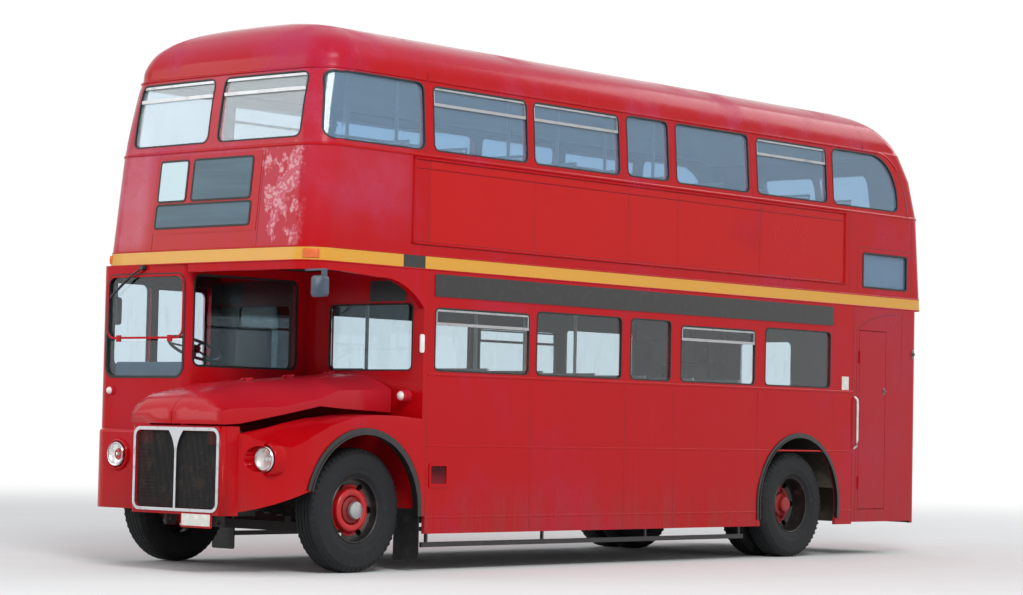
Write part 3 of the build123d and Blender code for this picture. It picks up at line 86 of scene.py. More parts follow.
# windows and blinds of the ends: x0, x1, z0, z1, and the windows' corner radius
FRONT_LIGHTS = [(-0.965, -0.055, 3.390, 3.910, 0.060), (0.055, 0.973, 3.390, 3.910, 0.060)]
REAR_LIGHTS = [(-0.640, -0.020, 3.360, 3.800, 0.060), (0.020, 0.640, 3.360, 3.800, 0.060)]
BLINDS = [(-0.575, -0.240, 2.925, 3.255), (-0.172, 0.505, 2.925, 3.255), (-0.580, 0.522, 2.710, 2.898)]
# cross-section of the roof: height, half width
ROOF_PROFILE = [
    (3.955, 1.176), (4.010, 1.171), (4.075, 1.157), (4.130, 1.131), (4.180, 1.095), (4.225, 1.041),
    (4.265, 0.971), (4.298, 0.887), (4.325, 0.791), (4.346, 0.679), (4.362, 0.559), (4.375, 0.419),
    (4.382, 0.249),
]
# headlamps: across, along, how far the housing runs back
LAMPS = [(1.075, -0.948, 0.075), (-0.848, -0.765, 0.030)]
LAMP_Z = 0.885
# lamp hole of the nearside wing
WING_HOLE_X = 1.040
WING_HOLE_RADIUS = 0.0985
# opening lights: number of the window, height of its rail
UPPER_BARS = {1: 3.757, 2: 3.757, 5: 3.757}
LOWER_BARS = {0: 1.986, 3: 1.986}


def srgb(r, g, b):
    """Colour given as 0 to 255 display values, as the linear values that Blender takes."""
    def one(v):
        v = v / 255
        return v / 12.92 if v <= 0.04045 else ((v + 0.055) / 1.055) ** 2.4
    return (one(r), one(g), one(b), 1.0)


def colour_prop(name, description, value):
    return FloatVectorProperty(name=name, description=description, subtype="COLOR", size=4, min=0, max=1,
                               default=value)


def length_prop(name, description, value):
    return FloatProperty(name=name, description=description, default=value, unit="LENGTH")


class BusPaint(PropertyGroup):
    red: colour_prop("Red", "Coach paint of the body", srgb(180, 6, 16))
    faded: colour_prop("Faded red", "Chalked paint on the roof and in patches", srgb(180, 44, 82))
    warm: colour_prop("Warm red", "Newer paint of the side panel between the decks", srgb(190, 16, 14))
    band: colour_prop("Band", "Mustard band between the decks", srgb(214, 152, 34))
    black: colour_prop("Black", "Black trim paint", srgb(23, 22, 22))
    inside: colour_prop("Inside", "Painted window surrounds inside", srgb(98, 110, 104))
    cab: colour_prop("Cab lining", "Lining of the cab and the wall behind the driver", srgb(46, 54, 54))
    ceiling: colour_prop("Ceiling", "Ceiling panels", srgb(226, 222, 200))


class BusTrim(PropertyGroup):
    band_low: length_prop("Band low edge", "Height of the band's low edge", 2.423)
    band_high: length_prop("Band high edge", "Height of the band's high edge", 2.521)
    seal_width: length_prop("Seal width", "Width of the rubber round each window", 0.012)
    screw: length_prop("Screw", "Diameter of a panel screw head", 0.009)


class BusWheels(PropertyGroup):
    blocks: IntProperty(name="Shoulder blocks", description="Tread blocks round each shoulder", default=56,
                        min=8)


class BusSeats(PropertyGroup):
    cloth: colour_prop("Seat cloth", "Ground colour of the moquette", srgb(96, 34, 38))
    stripe: colour_prop("Seat stripe", "Thin lines of the moquette", srgb(150, 130, 60))
    crown: length_prop("Crown", "How far a cushion swells at its middle", 0.022)


# mesh helpers


def loft_rings(bm, rings):
    """Quads between rings of equally many points; the first and the last ring are filled."""
    made = [[bm.verts.new(p) for p in ring] for ring in rings]
    count = len(made[0])
    for a, b in zip(made[:-1], made[1:]):
        for i in range(count):
            j = (i + 1) % count
            bm.faces.new((a[i], a[j], b[j], b[i]))
    bm.faces.new(list(reversed(made[0])))
    bm.faces.new(made[-1])


def loop_rings(bm, rings):
    """Quads between rings, the last one joined to the first."""
    made = [[bm.verts.new(p) for p in ring] for ring in rings]
    count = len(made[0])
    for k in range(len(made)):
        a, b = made[k], made[(k + 1) % len(made)]
        for i in range(count):
            j = (i + 1) % count
            bm.faces.new((a[i], a[j], b[j], b[i]))


def tube(bm, path, radius, sides=10):
    """Round bar through a row of points."""
    rings = []
    path = [Vector(p) for p in path]
    for i, p in enumerate(path):
        run = (path[min(i + 1, len(path) - 1)] - path[max(i - 1, 0)]).normalized()
        side = run.cross(Vector((0, 0, 1)))
        if side.length < 0.05:
            side = run.cross(Vector((1, 0, 0)))
        side.normalize()
        top = side.cross(run)
        rings.append([p + side * radius * math.cos(a) + top * radius * math.sin(a)
                      for a in [2 * math.pi * k / sides for k in range(sides)]])
    loft_rings(bm, rings)


def slab(bm, outline, plane, low, high, bevel=0.0):
    """Closed outline pushed from low to high along the third axis; plane names the outline's two axes."""
    def spot(u, v, w):
        return {"xy": (u, v, w), "yz": (w, u, v), "xz": (u, w, v)}[plane]
    if bevel:
        cu = sum(p[0] for p in outline) / len(outline)
        cv = sum(p[1] for p in outline) / len(outline)
        size = max(max(abs(p[0] - cu), abs(p[1] - cv)) for p in outline)
        k = 1 - bevel / size
        small = [(cu + (u - cu) * k, cv + (v - cv) * k) for u, v in outline]
        s = 1 if high > low else -1
        rings = [[spot(u, v, low) for u, v in small], [spot(u, v, low + s * bevel) for u, v in outline],
                 [spot(u, v, high - s * bevel) for u, v in outline], [spot(u, v, high) for u, v in small]]
    else:
        rings = [[spot(u, v, low) for u, v in outline], [spot(u, v, high) for u, v in outline]]
    loft_rings(bm, rings)


def filleted(corners):
    """Closed outline through (u, v, radius) corners, each rounded by an arc."""
    points = []
    for i, (u, v, radius) in enumerate(corners):
        spot = Vector((u, v))
        back = (Vector(corners[i - 1][:2]) - spot).normalized()
        on = (Vector(corners[(i + 1) % len(corners)][:2]) - spot).normalized()
        half = back.angle(on) / 2
        centre = spot + (back + on).normalized() * radius / math.sin(half)
        start = spot + back * radius / math.tan(half) - centre
        sweep = start.angle_signed(spot + on * radius / math.tan(half) - centre)
        n = 18 if radius > 0.2 else 6
        for k in range(n + 1):
            turned_by = Matrix.Rotation(-sweep * k / n, 2)
            points.append(tuple(centre + turned_by @ start))
    return points


def rounded(u0, u1, v0, v1, r, r_last=None, lean=0.0, grow=0.0):
    """Rounded rectangle; r_last is the radius at high u and high v, lean tips the edge at low u."""
    u0, u1, v0, v1 = u0 - grow, u1 + grow, v0 - grow, v1 + grow
    r_last = r if r_last is None else r_last
    corners = [(u1, v1, r_last), (u0 + lean, v1, r), (u0, v0, r), (u1, v0, r)]
    return filleted([(u, v, max(radius + grow, 0.001)) for u, v, radius in corners])


def box_points(u0, u1, v0, v1):
    return [(u0, v0), (u1, v0), (u1, v1), (u0, v1)]


def turned(bm, profile, centre, axis="x", steps=48, closed=True):
    """Outline of (along, radius) points turned about the x or y axis through a centre."""
    c = Vector(centre)
    rings = []
    for k in range(steps):
        a = 2 * math.pi * k / steps
        ring = []
        for along, r in profile:
            u, v = r * math.cos(a), r * math.sin(a)
            ring.append(c + (Vector((along, u, v)) if axis == "x" else Vector((u, along, v))))
        rings.append(ring)
    if closed:
        loop_rings(bm, rings)
        return
    made = [[bm.verts.new(p) for p in ring] for ring in rings]
    for k in range(steps):
        a, b = made[k], made[(k + 1) % steps]
        for i in range(len(profile) - 1):
            bm.faces.new((a[i], a[i + 1], b[i + 1], b[i]))


def merged(shape):
    """Joins points that lie on each other and turns all faces outwards."""
    bmesh.ops.remove_doubles(shape, verts=shape.verts, dist=1e-5)
    bmesh.ops.recalc_face_normals(shape, faces=shape.faces)


def piece(name, bm, finishes, body=BODY, angle=40, replaces=()):
    """Turns the mesh into a finished piece in the shared frame that rides on a body."""
    merged(bm)
    for v in bm.verts:
        v.co.y -= AXLE_Y
    mesh = bpy.data.meshes.new(name)
    bm.to_mesh(mesh)
    bm.free()
    return dress(name, mesh, finishes, body, angle, replaces)


def dress(name, mesh, finishes, body=BODY, angle=40, replaces=()):
    """Object with its finishes, its shading and the body it rides on; it hides the nodes that it replaces."""
    obj = bpy.data.objects.new(name, mesh)
    bpy.context.scene.collection.objects.link(obj)
    if mesh.materials:
        mesh.materials.clear()
    for finish in finishes if isinstance(finishes, (list, tuple)) else [finishes]:
        mesh.materials.append(MATERIALS[finish])
    mesh.shade_smooth()
    mesh.set_sharp_from_angle(angle=math.radians(angle))
    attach(obj, body)
    if replaces:
        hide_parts(*replaces)
    return obj


def plate(name, outline, plane, low, high, bevel, finish):
    """Piece that is one slab."""
    bm = bmesh.new()
    slab(bm, outline, plane, low, high, bevel)
    piece(name, bm, finish)


def skin_row(z):
    """Section of the upper skin at a height, between the rows of the table."""
    z = min(max(z, SKIN[0][0]), SKIN[-1][0])
    for low, high in zip(SKIN[:-1], SKIN[1:]):
        if z <= high[0]:
            t = (z - low[0]) / (high[0] - low[0])
            return [a + (b - a) * t for a, b in zip(low, high)]
    return list(SKIN[-1])


def skin_x(z):
    return skin_row(z)[1]


def end_centre(half, at, bow, r, s):
    """Bow circle and corner circle of one end; s is 1 at the front and -1 at the rear."""
    big = (half ** 2 + bow ** 2) / (2 * bow)
    mid = at + s * big
    corner = mid - s * math.sqrt((big - r) ** 2 - (half - r) ** 2)
    return big, mid, corner


def skin_path(z, off=0.0, y_near=None, y_off=None, end="front", row=None):
    """Points round one end of the body at a height, from the nearside to the offside."""
    _, half, front, rear, bow_f, bow_r, r_f, r_r = row or skin_row(z)
    s, at, bow, r = (1, front, bow_f, r_f) if end == "front" else (-1, rear, bow_r, r_r)
    big, mid, corner = end_centre(half, at, bow, r, s)
    turn = math.acos((corner - mid) * -s / (big - r))
    points = []
    if y_near is not None:
        steps = max(2, int(abs(corner - y_near) / 0.25))
        points += [(half + off, y_near + (corner - y_near) * k / steps) for k in range(steps)]
    near = []
    for k in range(9):
        a = (math.pi / 2 - turn) * k / 8
        near.append((half - r + (r + off) * math.cos(a), corner - s * (r + off) * math.sin(a)))
    points += near
    for k in range(1, 16):
        a = turn * (1 - 2 * k / 16)
        points.append(((big + off) * math.sin(a), mid - s * (big + off) * math.cos(a)))
    points += [(-x, y) for x, y in reversed(near)]
    if y_off is not None:
        steps = max(2, int(abs(corner - y_off) / 0.25))
        points += [(-half - off, corner + (y_off - corner) * k / steps) for k in range(1, steps + 1)]
    return [(x, y, z) for x, y in points]


def side_strip(bm, s, y0, y1, z0, z1, out):
    """Flat strip on one side, rounded off at its edges."""
    rings = []
    steps = max(1, int(abs(y1 - y0) / 0.6))
    e = min(0.3 * (z1 - z0), out)
    for k in range(steps + 1):
        y = y0 + (y1 - y0) * k / steps
        rings.append([(s * (HALF_W + off), y, z)
                      for z, off in ((z0, -0.002), (z0, out * 0.4), (z0 + e, out), (z1 - e, out),
                                     (z1, out * 0.4), (z1, -0.002))])
    loft_rings(bm, rings)


def upright_strip(bm, s, y, width, z0, z1, out, x_of=None):
    """Upright strip on one side; x_of gives the half width at a height where the side leans."""
    x_of = x_of or (lambda z: HALF_W)
    rings = []
    steps = max(1, int((z1 - z0) / 0.3))
    w = width / 2
    for k in range(steps + 1):
        z = z0 + (z1 - z0) * k / steps
        rings.append([(s * (x_of(z) + off), y + d, z)
                      for d, off in ((-w, -0.002), (-w, out * 0.4), (-w * 0.4, out), (w * 0.4, out),
                                     (w, out * 0.4), (w, -0.002))])
    loft_rings(bm, rings)


def ring_on(bm, outer, inner, spot, depths):
    """Frame between two outlines of equally many points; spot gives a point for (u, v, depth)."""
    a, b = depths
    rings = []
    for (u0, v0), (u1, v1) in zip(outer, inner):
        rings.append([spot(u0, v0, b), spot(u0, v0, a), spot(u1, v1, a), spot(u1, v1, b)])
    loop_rings(bm, rings)


# materials


class Graph:
    """Short way to build one material or group out of nodes."""

    def __init__(self, tree):
        self.tree = tree

    def node(self, kind, **settings):
        n = self.tree.nodes.new(kind)
        for key, value in settings.items():
            if hasattr(n, key):
                setattr(n, key, value)
            else:
                n.inputs[key.replace("_", " ")].default_value = value
        return n

    def link(self, a, b):
        self.tree.links.new(a, b)

    def math(self, how, a, b=None, clamp=False):
        n = self.tree.nodes.new("ShaderNodeMath")
        n.operation = how
        n.use_clamp = clamp
        for i, v in enumerate((a, b)):
            if v is None:
                continue
            if isinstance(v, (int, float)):
                n.inputs[i].default_value = v
            else:
                self.link(v, n.inputs[i])
        return n.outputs[0]

    def times(self, a, b, clamp=False):
        return self.math("MULTIPLY", a, b, clamp)

    def plus(self, a, b):
        return self.math("ADD", a, b)

    def ramp(self, value, low, high):
        """0 below low, 1 above high and a soft rise between them."""
        n = self.tree.nodes.new("ShaderNodeMapRange")
        n.interpolation_type = "SMOOTHSTEP"
        n.clamp = True
        self.link(value, n.inputs["Value"])
        n.inputs["From Min"].default_value = low
        n.inputs["From Max"].default_value = high
        return n.outputs["Result"]

    def mix(self, fac, a, b):
        n = self.tree.nodes.new("ShaderNodeMix")
        n.data_type = "RGBA"
        for sock, v in ((n.inputs["Factor"], fac), (n.inputs[6], a), (n.inputs[7], b)):
            if isinstance(v, (int, float)):
                sock.default_value = v
            elif isinstance(v, (tuple, list)) or type(v).__name__ == "bpy_prop_array":
                sock.default_value = tuple(v)
            else:
                self.link(v, sock)
        return n.outputs[2]

    def noise(self, vector, scale, detail=3.0, rough=0.55):
        n = self.tree.nodes.new("ShaderNodeTexNoise")
        self.link(vector, n.inputs["Vector"])
        n.inputs["Scale"].default_value = scale
        n.inputs["Detail"].default_value = detail
        n.inputs["Roughness"].default_value = rough
        return n.outputs["Fac"]

    def stretch(self, vector, scale):
        n = self.tree.nodes.new("ShaderNodeMapping")
        self.link(vector, n.inputs["Vector"])
        n.inputs["Scale"].default_value = scale
        return n.outputs["Vector"]

    def split(self, vector):
        n = self.tree.nodes.new("ShaderNodeSeparateXYZ")
        self.link(vector, n.inputs[0])
        return n.outputs

    def bump(self, height, distance, strength=1.0):
        n = self.tree.nodes.new("ShaderNodeBump")
        n.inputs["Distance"].default_value = distance
        n.inputs["Strength"].default_value = strength
        self.link(height, n.inputs["Height"])
        return n.outputs["Normal"]

    def between(self, value, low, high, soft):
        """1 between two values and 0 outside, with soft edges."""
        a = self.ramp(value, low - soft, low + soft)
        b = self.ramp(value, high - soft, high + soft)
        return self.math("SUBTRACT", a, b, clamp=True)


def effect(name, ins, outs, build):
    """Shader node group with named inputs and outputs; build(graph, inputs, outputs) fills it."""
    group = bpy.data.node_groups.get(name)
    if group:
        return group
    group = bpy.data.node_groups.new(name, "ShaderNodeTree")
    for label, kind, value in ins:
        sock = group.interface.new_socket(label, in_out="INPUT", socket_type=kind)
        if value is not None:
            sock.default_value = value
    for label, kind in outs:
        group.interface.new_socket(label, in_out="OUTPUT", socket_type=kind)
    g = Graph(group)
    build(g, g.node("NodeGroupInput").outputs, g.node("NodeGroupOutput").inputs)
    return group


def weather_group():
    """Fade in patches and run-off streaks, dust near the ground, a cloudy mottle and a height for bump."""
    def build(g, i, o):
        v = i["Vector"]
        xyz = g.split(v)
        patch = g.noise(v, 1.1, 4.0, 0.6)
        streak = g.noise(g.stretch(v, (7.0, 7.0, 0.55)), 1.0, 4.0, 0.65)
        fine = g.noise(v, 46.0, 2.0)
        up = g.ramp(xyz[2], 2.2, 4.3)
        fade = g.plus(g.ramp(patch, 0.46, 0.74), g.times(g.ramp(streak, 0.55, 0.8), 0.35))
        fade = g.times(fade, g.plus(0.45, g.times(up, 0.55)), clamp=True)
        g.link(g.times(fade, i["Amount"], clamp=True), o["Fade"])
        low = g.math("SUBTRACT", 1.0, g.ramp(xyz[2], 0.28, 0.85))
        dirt = g.times(low, g.ramp(streak, 0.3, 0.75))
        g.link(g.times(dirt, 0.55, clamp=True), o["Dust"])
        g.link(g.plus(g.times(fine, 0.5), g.times(patch, 0.5)), o["Mottle"])
        g.link(g.noise(v, 9.0, 2.0), o["Height"])
    return effect("Weather", [("Vector", "NodeSocketVector", None), ("Amount", "NodeSocketFloat", 1.0)],
                  [("Fade", "NodeSocketFloat"), ("Dust", "NodeSocketFloat"), ("Mottle", "NodeSocketFloat"),
                   ("Height", "NodeSocketFloat")], build)


def inside_group():
    """Faces that look inwards: the walls' and ends' backs and the underside of the roof."""
    def build(g, i, o):
        p = g.split(i["Vector"])
        n = g.split(i["Normal"])
        side = g.times(n[0], g.math("SIGN", p[0]))
        side = g.math("LESS_THAN", side, -0.5)
        front = g.times(g.math("LESS_THAN", p[1], i["Front"]), g.math("GREATER_THAN", n[1], 0.5))
        rear = g.times(g.math("GREATER_THAN", p[1], i["Rear"]), g.math("LESS_THAN", n[1], -0.5))
        top = g.math("LESS_THAN", n[2], -0.35)
        top = g.times(top, g.math("GREATER_THAN", p[2], i["Ceiling"]))
        walls = g.math("MAXIMUM", side, g.math("MAXIMUM", front, rear))
        g.link(g.math("MAXIMUM", walls, top), o["Inside"])
        g.link(top, o["Top"])
    return effect("Inside faces", [("Vector", "NodeSocketVector", None), ("Normal", "NodeSocketVector", None),
                                   ("Front", "NodeSocketFloat", -3.8), ("Rear", "NodeSocketFloat", 4.1),
                                   ("Ceiling", "NodeSocketFloat", 3.95)],
                  [("Inside", "NodeSocketFloat"), ("Top", "NodeSocketFloat")], build)


def cab_group():
    """Faces inside the cab: its panels' backs, the driver's side of its inner wall, and its ceiling."""
    def build(g, i, o):
        p = g.split(i["Vector"])
        n = g.split(i["Normal"])
        out_wall = g.times(g.math("GREATER_THAN", n[0], 0.5), g.math("LESS_THAN", p[0], -0.6))
        near_wall = g.times(g.math("LESS_THAN", n[0], -0.5), g.math("GREATER_THAN", p[0], -0.6))
        front = g.times(g.math("GREATER_THAN", n[1], 0.5), g.math("LESS_THAN", p[1], -3.9))
        top = g.times(g.math("LESS_THAN", n[2], -0.5), g.math("GREATER_THAN", p[2], 2.2))
        walls = g.math("MAXIMUM", out_wall, near_wall)
        g.link(g.math("MAXIMUM", g.math("MAXIMUM", walls, front), top), o["Inside"])
    return effect("Cab faces", [("Vector", "NodeSocketVector", None), ("Normal", "NodeSocketVector", None)],
                  [("Inside", "NodeSocketFloat")], build)


def grain_group():
    """Fine grain for roughness and bump, and worn patches for colour."""
    def build(g, i, o):
        v = i["Vector"]
        wide = g.noise(v, 14.0, 3.0)
        fine = g.noise(v, 190.0, 2.0)
        g.link(g.plus(g.times(wide, 0.6), g.times(fine, 0.4)), o["Grain"])
        g.link(g.ramp(wide, 0.5, 0.72), o["Wear"])
    return effect("Grain", [("Vector", "NodeSocketVector", None)],
                  [("Grain", "NodeSocketFloat"), ("Wear", "NodeSocketFloat")], build)


MATERIALS = {}


def start(name):
    """New material with its Principled shader; returns the graph, the shader and Object coordinates."""
    mat = bpy.data.materials.new(name)
    mat.use_nodes = True
    mat.node_tree.nodes.clear()
    g = Graph(mat.node_tree)
    out = g.node("ShaderNodeOutputMaterial")
    shader = g.node("ShaderNodeBsdfPrincipled")
    g.link(shader.outputs[0], out.inputs[0])
    coords = g.node("ShaderNodeTexCoord")
    MATERIALS[name] = mat
    return g, shader, coords


def use_group(g, group, **inputs):
    n = g.node("ShaderNodeGroup")
    n.node_tree = group
    for key, value in inputs.items():
        if isinstance(value, (int, float)):
            n.inputs[key].default_value = value
        else:
            g.link(value, n.inputs[key])
    return n.outputs


def coach_paint(name, base, faded, amount, lined=True, front=-3.8, extra=None, cab=False):
    """Brushed coach enamel with chalked patches, run-off streaks, road dust and a lined inner face."""
    paint = bpy.context.scene.bus_paint
    g, shader, coords = start(name)
    v = coords.outputs["Object"]
    w = use_group(g, weather_group(), Vector=v, Amount=amount)
    colour = g.mix(w["Fade"], tuple(base), tuple(faded))
    if extra:
        colour = extra(g, v, colour)
    deep = tuple(c * 0.72 for c in tuple(base)[:3]) + (1.0,)
    colour = g.mix(g.times(g.ramp(w["Mottle"], 0.5, 0.75), 0.30), colour, deep)
    colour = g.mix(g.times(w["Dust"], 0.6), colour, srgb(120, 70, 60))
    rough = g.plus(0.17, g.times(w["Fade"], 0.34))
    rough = g.plus(rough, g.times(w["Dust"], 0.3))
    if cab:
        face = use_group(g, cab_group(), Vector=v, Normal=coords.outputs["Normal"])
        colour = g.mix(face["Inside"], colour, tuple(paint.cab))
        rough = g.plus(rough, g.times(face["Inside"], 0.25))
    elif lined:
        face = use_group(g, inside_group(), Vector=v, Normal=coords.outputs["Normal"], Front=front)
        z = g.split(v)[2]
        lining = g.mix(g.between(z, 1.62, 2.40, 0.01), srgb(70, 26, 30), tuple(paint.inside))
        lining = g.mix(g.ramp(z, 3.34, 3.37), lining, tuple(paint.inside))
        lining = g.mix(face["Top"], lining, tuple(paint.ceiling))
        colour = g.mix(face["Inside"], colour, lining)
        rough = g.plus(rough, g.times(face["Inside"], 0.15))
    g.link(colour, shader.inputs["Base Color"])
    g.link(rough, shader.inputs["Roughness"])
    g.link(g.bump(w["Height"], 0.0016, 0.5), shader.inputs["Normal"])
    shader.inputs["Specular IOR Level"].default_value = 0.14
    shader.inputs["Coat Weight"].default_value = 0.04
    shader.inputs["Coat Roughness"].default_value = 0.12


def side_panel_extra(g, v, colour):
    """The framed side panel between the decks is a newer, warmer red."""
    p = g.split(v)
    paint = bpy.context.scene.bus_paint
    m = g.times(g.between(p[2], 2.628, 3.305, 0.002), g.between(p[1], 0.467 - AXLE_Y, 6.555 - AXLE_Y, 0.002))
    m = g.times(m, g.ramp(g.noise(v, 0.9, 3.0), 0.30, 0.42))
    colour = g.mix(g.times(m, 0.85), colour, tuple(paint.warm))
    return bleached(g, v, colour)


def bleached(g, v, colour):
    """Pinker, chalked paint on the front corners of the upper deck and strongly on the offside one."""
    p = g.split(v)
    near = g.times(g.math("SUBTRACT", 1.0, g.ramp(p[1], -3.0, -2.85)), g.ramp(p[2], 2.5, 3.2))
    far = g.times(g.math("SUBTRACT", 1.0, g.ramp(p[0], -0.80, -0.62)), g.between(p[2], 2.54, 3.36, 0.08))
    cloud = g.plus(0.45, g.times(g.ramp(g.noise(v, 2.2, 4.0, 0.6), 0.35, 0.7), 0.55))
    colour = g.mix(g.times(g.times(near, cloud), 0.30), colour, srgb(190, 84, 112))
    far = g.times(g.times(far, g.math("LESS_THAN", p[1], -3.6)), cloud)
    return g.mix(g.times(far, 0.55), colour, srgb(204, 120, 140))


def front_panel_extra(g, v, colour):
    """Peeled and bleached paint on the nearside half of the upper front panel."""
    p = g.split(v)
    m = g.times(g.between(p[2], 2.54, 3.33, 0.06), g.between(p[0], 0.60, 1.04, 0.07))
    m = g.times(m, g.math("LESS_THAN", p[1], -3.8))
    cells = g.noise(g.stretch(v, (1.0, 1.0, 0.7)), 4.2, 5.0, 0.62)
    flakes = g.ramp(g.plus(cells, g.times(g.ramp(p[2], 2.9, 3.3), 0.05)), 0.53, 0.56)
    pale = g.mix(g.ramp(g.noise(v, 30.0, 3.0), 0.45, 0.6), srgb(196, 84, 104), srgb(214, 160, 164))
    colour = bleached(g, v, colour)
    colour = g.mix(g.times(m, 0.35), colour, srgb(176, 44, 66))
    return g.mix(g.times(m, g.times(flakes, 0.8)), colour, pale)


def bulkhead_extra(g, v, colour):
    """The part of the front wall behind the driver has the cab's lining."""
    p = g.split(v)
    m = g.times(g.math("LESS_THAN", p[0], -0.124), g.math("LESS_THAN", p[2], 2.36))
    return g.mix(m, colour, tuple(bpy.context.scene.bus_paint.cab))


def roof_extra(g, v, colour):
    """The roof has chalked more towards its crown."""
    paint = bpy.context.scene.bus_paint
    z = g.split(v)[2]
    return g.mix(g.times(g.ramp(z, 3.98, 4.25), 0.55), colour, tuple(paint.faded))


def nose_extra(g, v, colour):
    """The bonnet lies in the sun: its top has chalked more than its sides."""
    p = g.split(v)
    m = g.times(g.ramp(p[2], 1.12, 1.45), g.math("LESS_THAN", p[2], 1.9))
    return g.mix(g.times(m, 0.35), colour, srgb(204, 60, 80))


def door_extra(g, v, colour):
    """The entrance panel and its door are a duller red all over, so the place v plays no part."""
    return g.mix(0.45, colour, srgb(164, 38, 56))


def plain(name, colour, rough=0.4, metal=0.0, second=None, bump=0.0006, coat=0.0):
    """Finish with grain in its colour, roughness and surface."""
    g, shader, coords = start(name)
    v = coords.outputs["Object"]
    grain = use_group(g, grain_group(), Vector=v)
    other = second or tuple(min(c * 1.5 + 0.012, 1) for c in tuple(colour)[:3]) + (1.0,)
    g.link(g.mix(g.times(grain["Wear"], 0.55), tuple(colour), tuple(other)), shader.inputs["Base Color"])
    g.link(g.plus(rough - 0.08, g.times(grain["Grain"], 0.16)), shader.inputs["Roughness"])
    g.link(g.bump(grain["Grain"], bump, 0.6), shader.inputs["Normal"])
    shader.inputs["Metallic"].default_value = metal
    shader.inputs["Coat Weight"].default_value = coat


def window_glass(name, tint, rough, painted_reflection=0.0, screened=False):
    """Safety glass with rain marks.

    A painted bluish sky reflection of the given strength lies on panes that face sideways, mostly those of
    the nearside. Screened darkens the pane behind the driver.
    """
    g, shader, coords = start(name)
    v = coords.outputs["Object"]
    marks = g.noise(g.stretch(v, (5.0, 5.0, 1.4)), 3.0, 5.0, 0.6)
    colour = g.mix(g.ramp(marks, 0.5, 0.85), tint, tuple(c * 0.88 for c in tint[:3]) + (1.0,))
    # painted reflection: the sky's bluish reflection painted into the colour of sideways panes, stronger on
    # the nearside
    if painted_reflection:
        side = g.ramp(g.math("ABSOLUTE", g.split(coords.outputs["Normal"])[0]), 0.5, 0.8)
        sunny = g.math("GREATER_THAN", g.split(v)[0], 0.0)
        side = g.times(side, g.plus(0.25, g.times(sunny, 0.75)))
        colour = g.mix(g.times(side, 0.6), colour, srgb(110, 178, 226))
    if screened:
        p = g.split(v)
        m = g.times(g.math("LESS_THAN", p[1], -2.6), g.math("LESS_THAN", p[0], 0.0))
        colour = g.mix(m, colour, srgb(78, 92, 96))
    g.link(colour, shader.inputs["Base Color"])
    g.link(g.times(g.ramp(marks, 0.45, 0.85), rough), shader.inputs["Roughness"])
    shader.inputs["Transmission Weight"].default_value = 1.0 - painted_reflection
    shader.inputs["IOR"].default_value = 1.45
    path = g.node("ShaderNodeLightPath")
    g.link(g.math("SUBTRACT", 1.0, g.times(path.outputs["Is Shadow Ray"], 0.9)), shader.inputs["Alpha"])


def shaded_tray(name, low, high):
    """Red tray with painted shade: darker towards its top edge, as if shaded by the lip of its recess."""
    g, shader, coords = start(name)
    v = coords.outputs["Object"]
    grain = use_group(g, grain_group(), Vector=v)
    # painted shade: the red darkens from the low to the high height, standing in for the recess's shadow
    colour = g.mix(g.ramp(g.split(v)[2], low, high), srgb(118, 22, 34), srgb(54, 2, 6))
    g.link(g.mix(g.times(grain["Wear"], 0.3), colour, srgb(90, 30, 34)), shader.inputs["Base Color"])
    g.link(g.plus(0.5, g.times(grain["Grain"], 0.2)), shader.inputs["Roughness"])
    g.link(g.bump(grain["Grain"], 0.0006, 0.6), shader.inputs["Normal"])
    shader.inputs["Specular IOR Level"].default_value = 0.15


def wheel_paint(name, y, rings):
    """Paint of a wheel in rings about its axle: (outer radius, colour, metallic) from the middle out."""
    g, shader, coords = start(name)
    v = coords.outputs["Object"]
    p = g.split(v)
    dy = g.math("SUBTRACT", p[1], y - AXLE_Y)
    dz = g.math("SUBTRACT", p[2], WHEEL_Z)
    r = g.math("SQRT", g.plus(g.times(dy, dy), g.times(dz, dz)))
    colour, metal = rings[-1][1], rings[-1][2]
    for edge, c, m in reversed(rings[:-1]):
        here = g.math("LESS_THAN", r, edge)
        colour = g.mix(here, colour, c)
        metal = g.plus(g.times(here, m), g.times(g.math("SUBTRACT", 1.0, here), metal))
    grain = use_group(g, grain_group(), Vector=v)
    colour = g.mix(g.times(grain["Wear"], 0.6), colour, srgb(74, 58, 50))
    g.link(colour, shader.inputs["Base Color"])
    g.link(metal, shader.inputs["Metallic"])
    g.link(g.plus(0.28, g.times(grain["Grain"], 0.3)), shader.inputs["Roughness"])
    g.link(g.bump(grain["Grain"], 0.0008, 0.6), shader.inputs["Normal"])


def moquette(name):
    """Cut-pile seat cloth: crossed thin lines on a dark ground, with a fine pile."""
    seats = bpy.context.scene.bus_seats
    g, shader, coords = start(name)
    v = coords.outputs["Object"]
    p = g.split(v)
    colour = tuple(seats.cloth)
    green = srgb(30, 58, 40)
    lines = ((0, 0.085, 0.06, tuple(seats.stripe)), (1, 0.085, 0.06, green), (2, 0.085, 0.06, green),
             (0, 0.0425, 0.10, srgb(36, 30, 34)))
    for axis, period, width, tone in lines:
        t = g.math("FRACT", g.math("DIVIDE", p[axis], period))
        colour = g.mix(g.times(g.math("LESS_THAN", t, width), 0.7), colour, tone)
    pile = g.noise(v, 420.0, 2.0)
    colour = g.mix(g.times(g.ramp(pile, 0.4, 0.7), 0.35), colour, srgb(46, 22, 24))
    g.link(colour, shader.inputs["Base Color"])
    shader.inputs["Roughness"].default_value = 0.92
    shader.inputs["Sheen Weight"].default_value = 0.4
    g.link(g.bump(pile, 0.0015, 0.7), shader.inputs["Normal"])


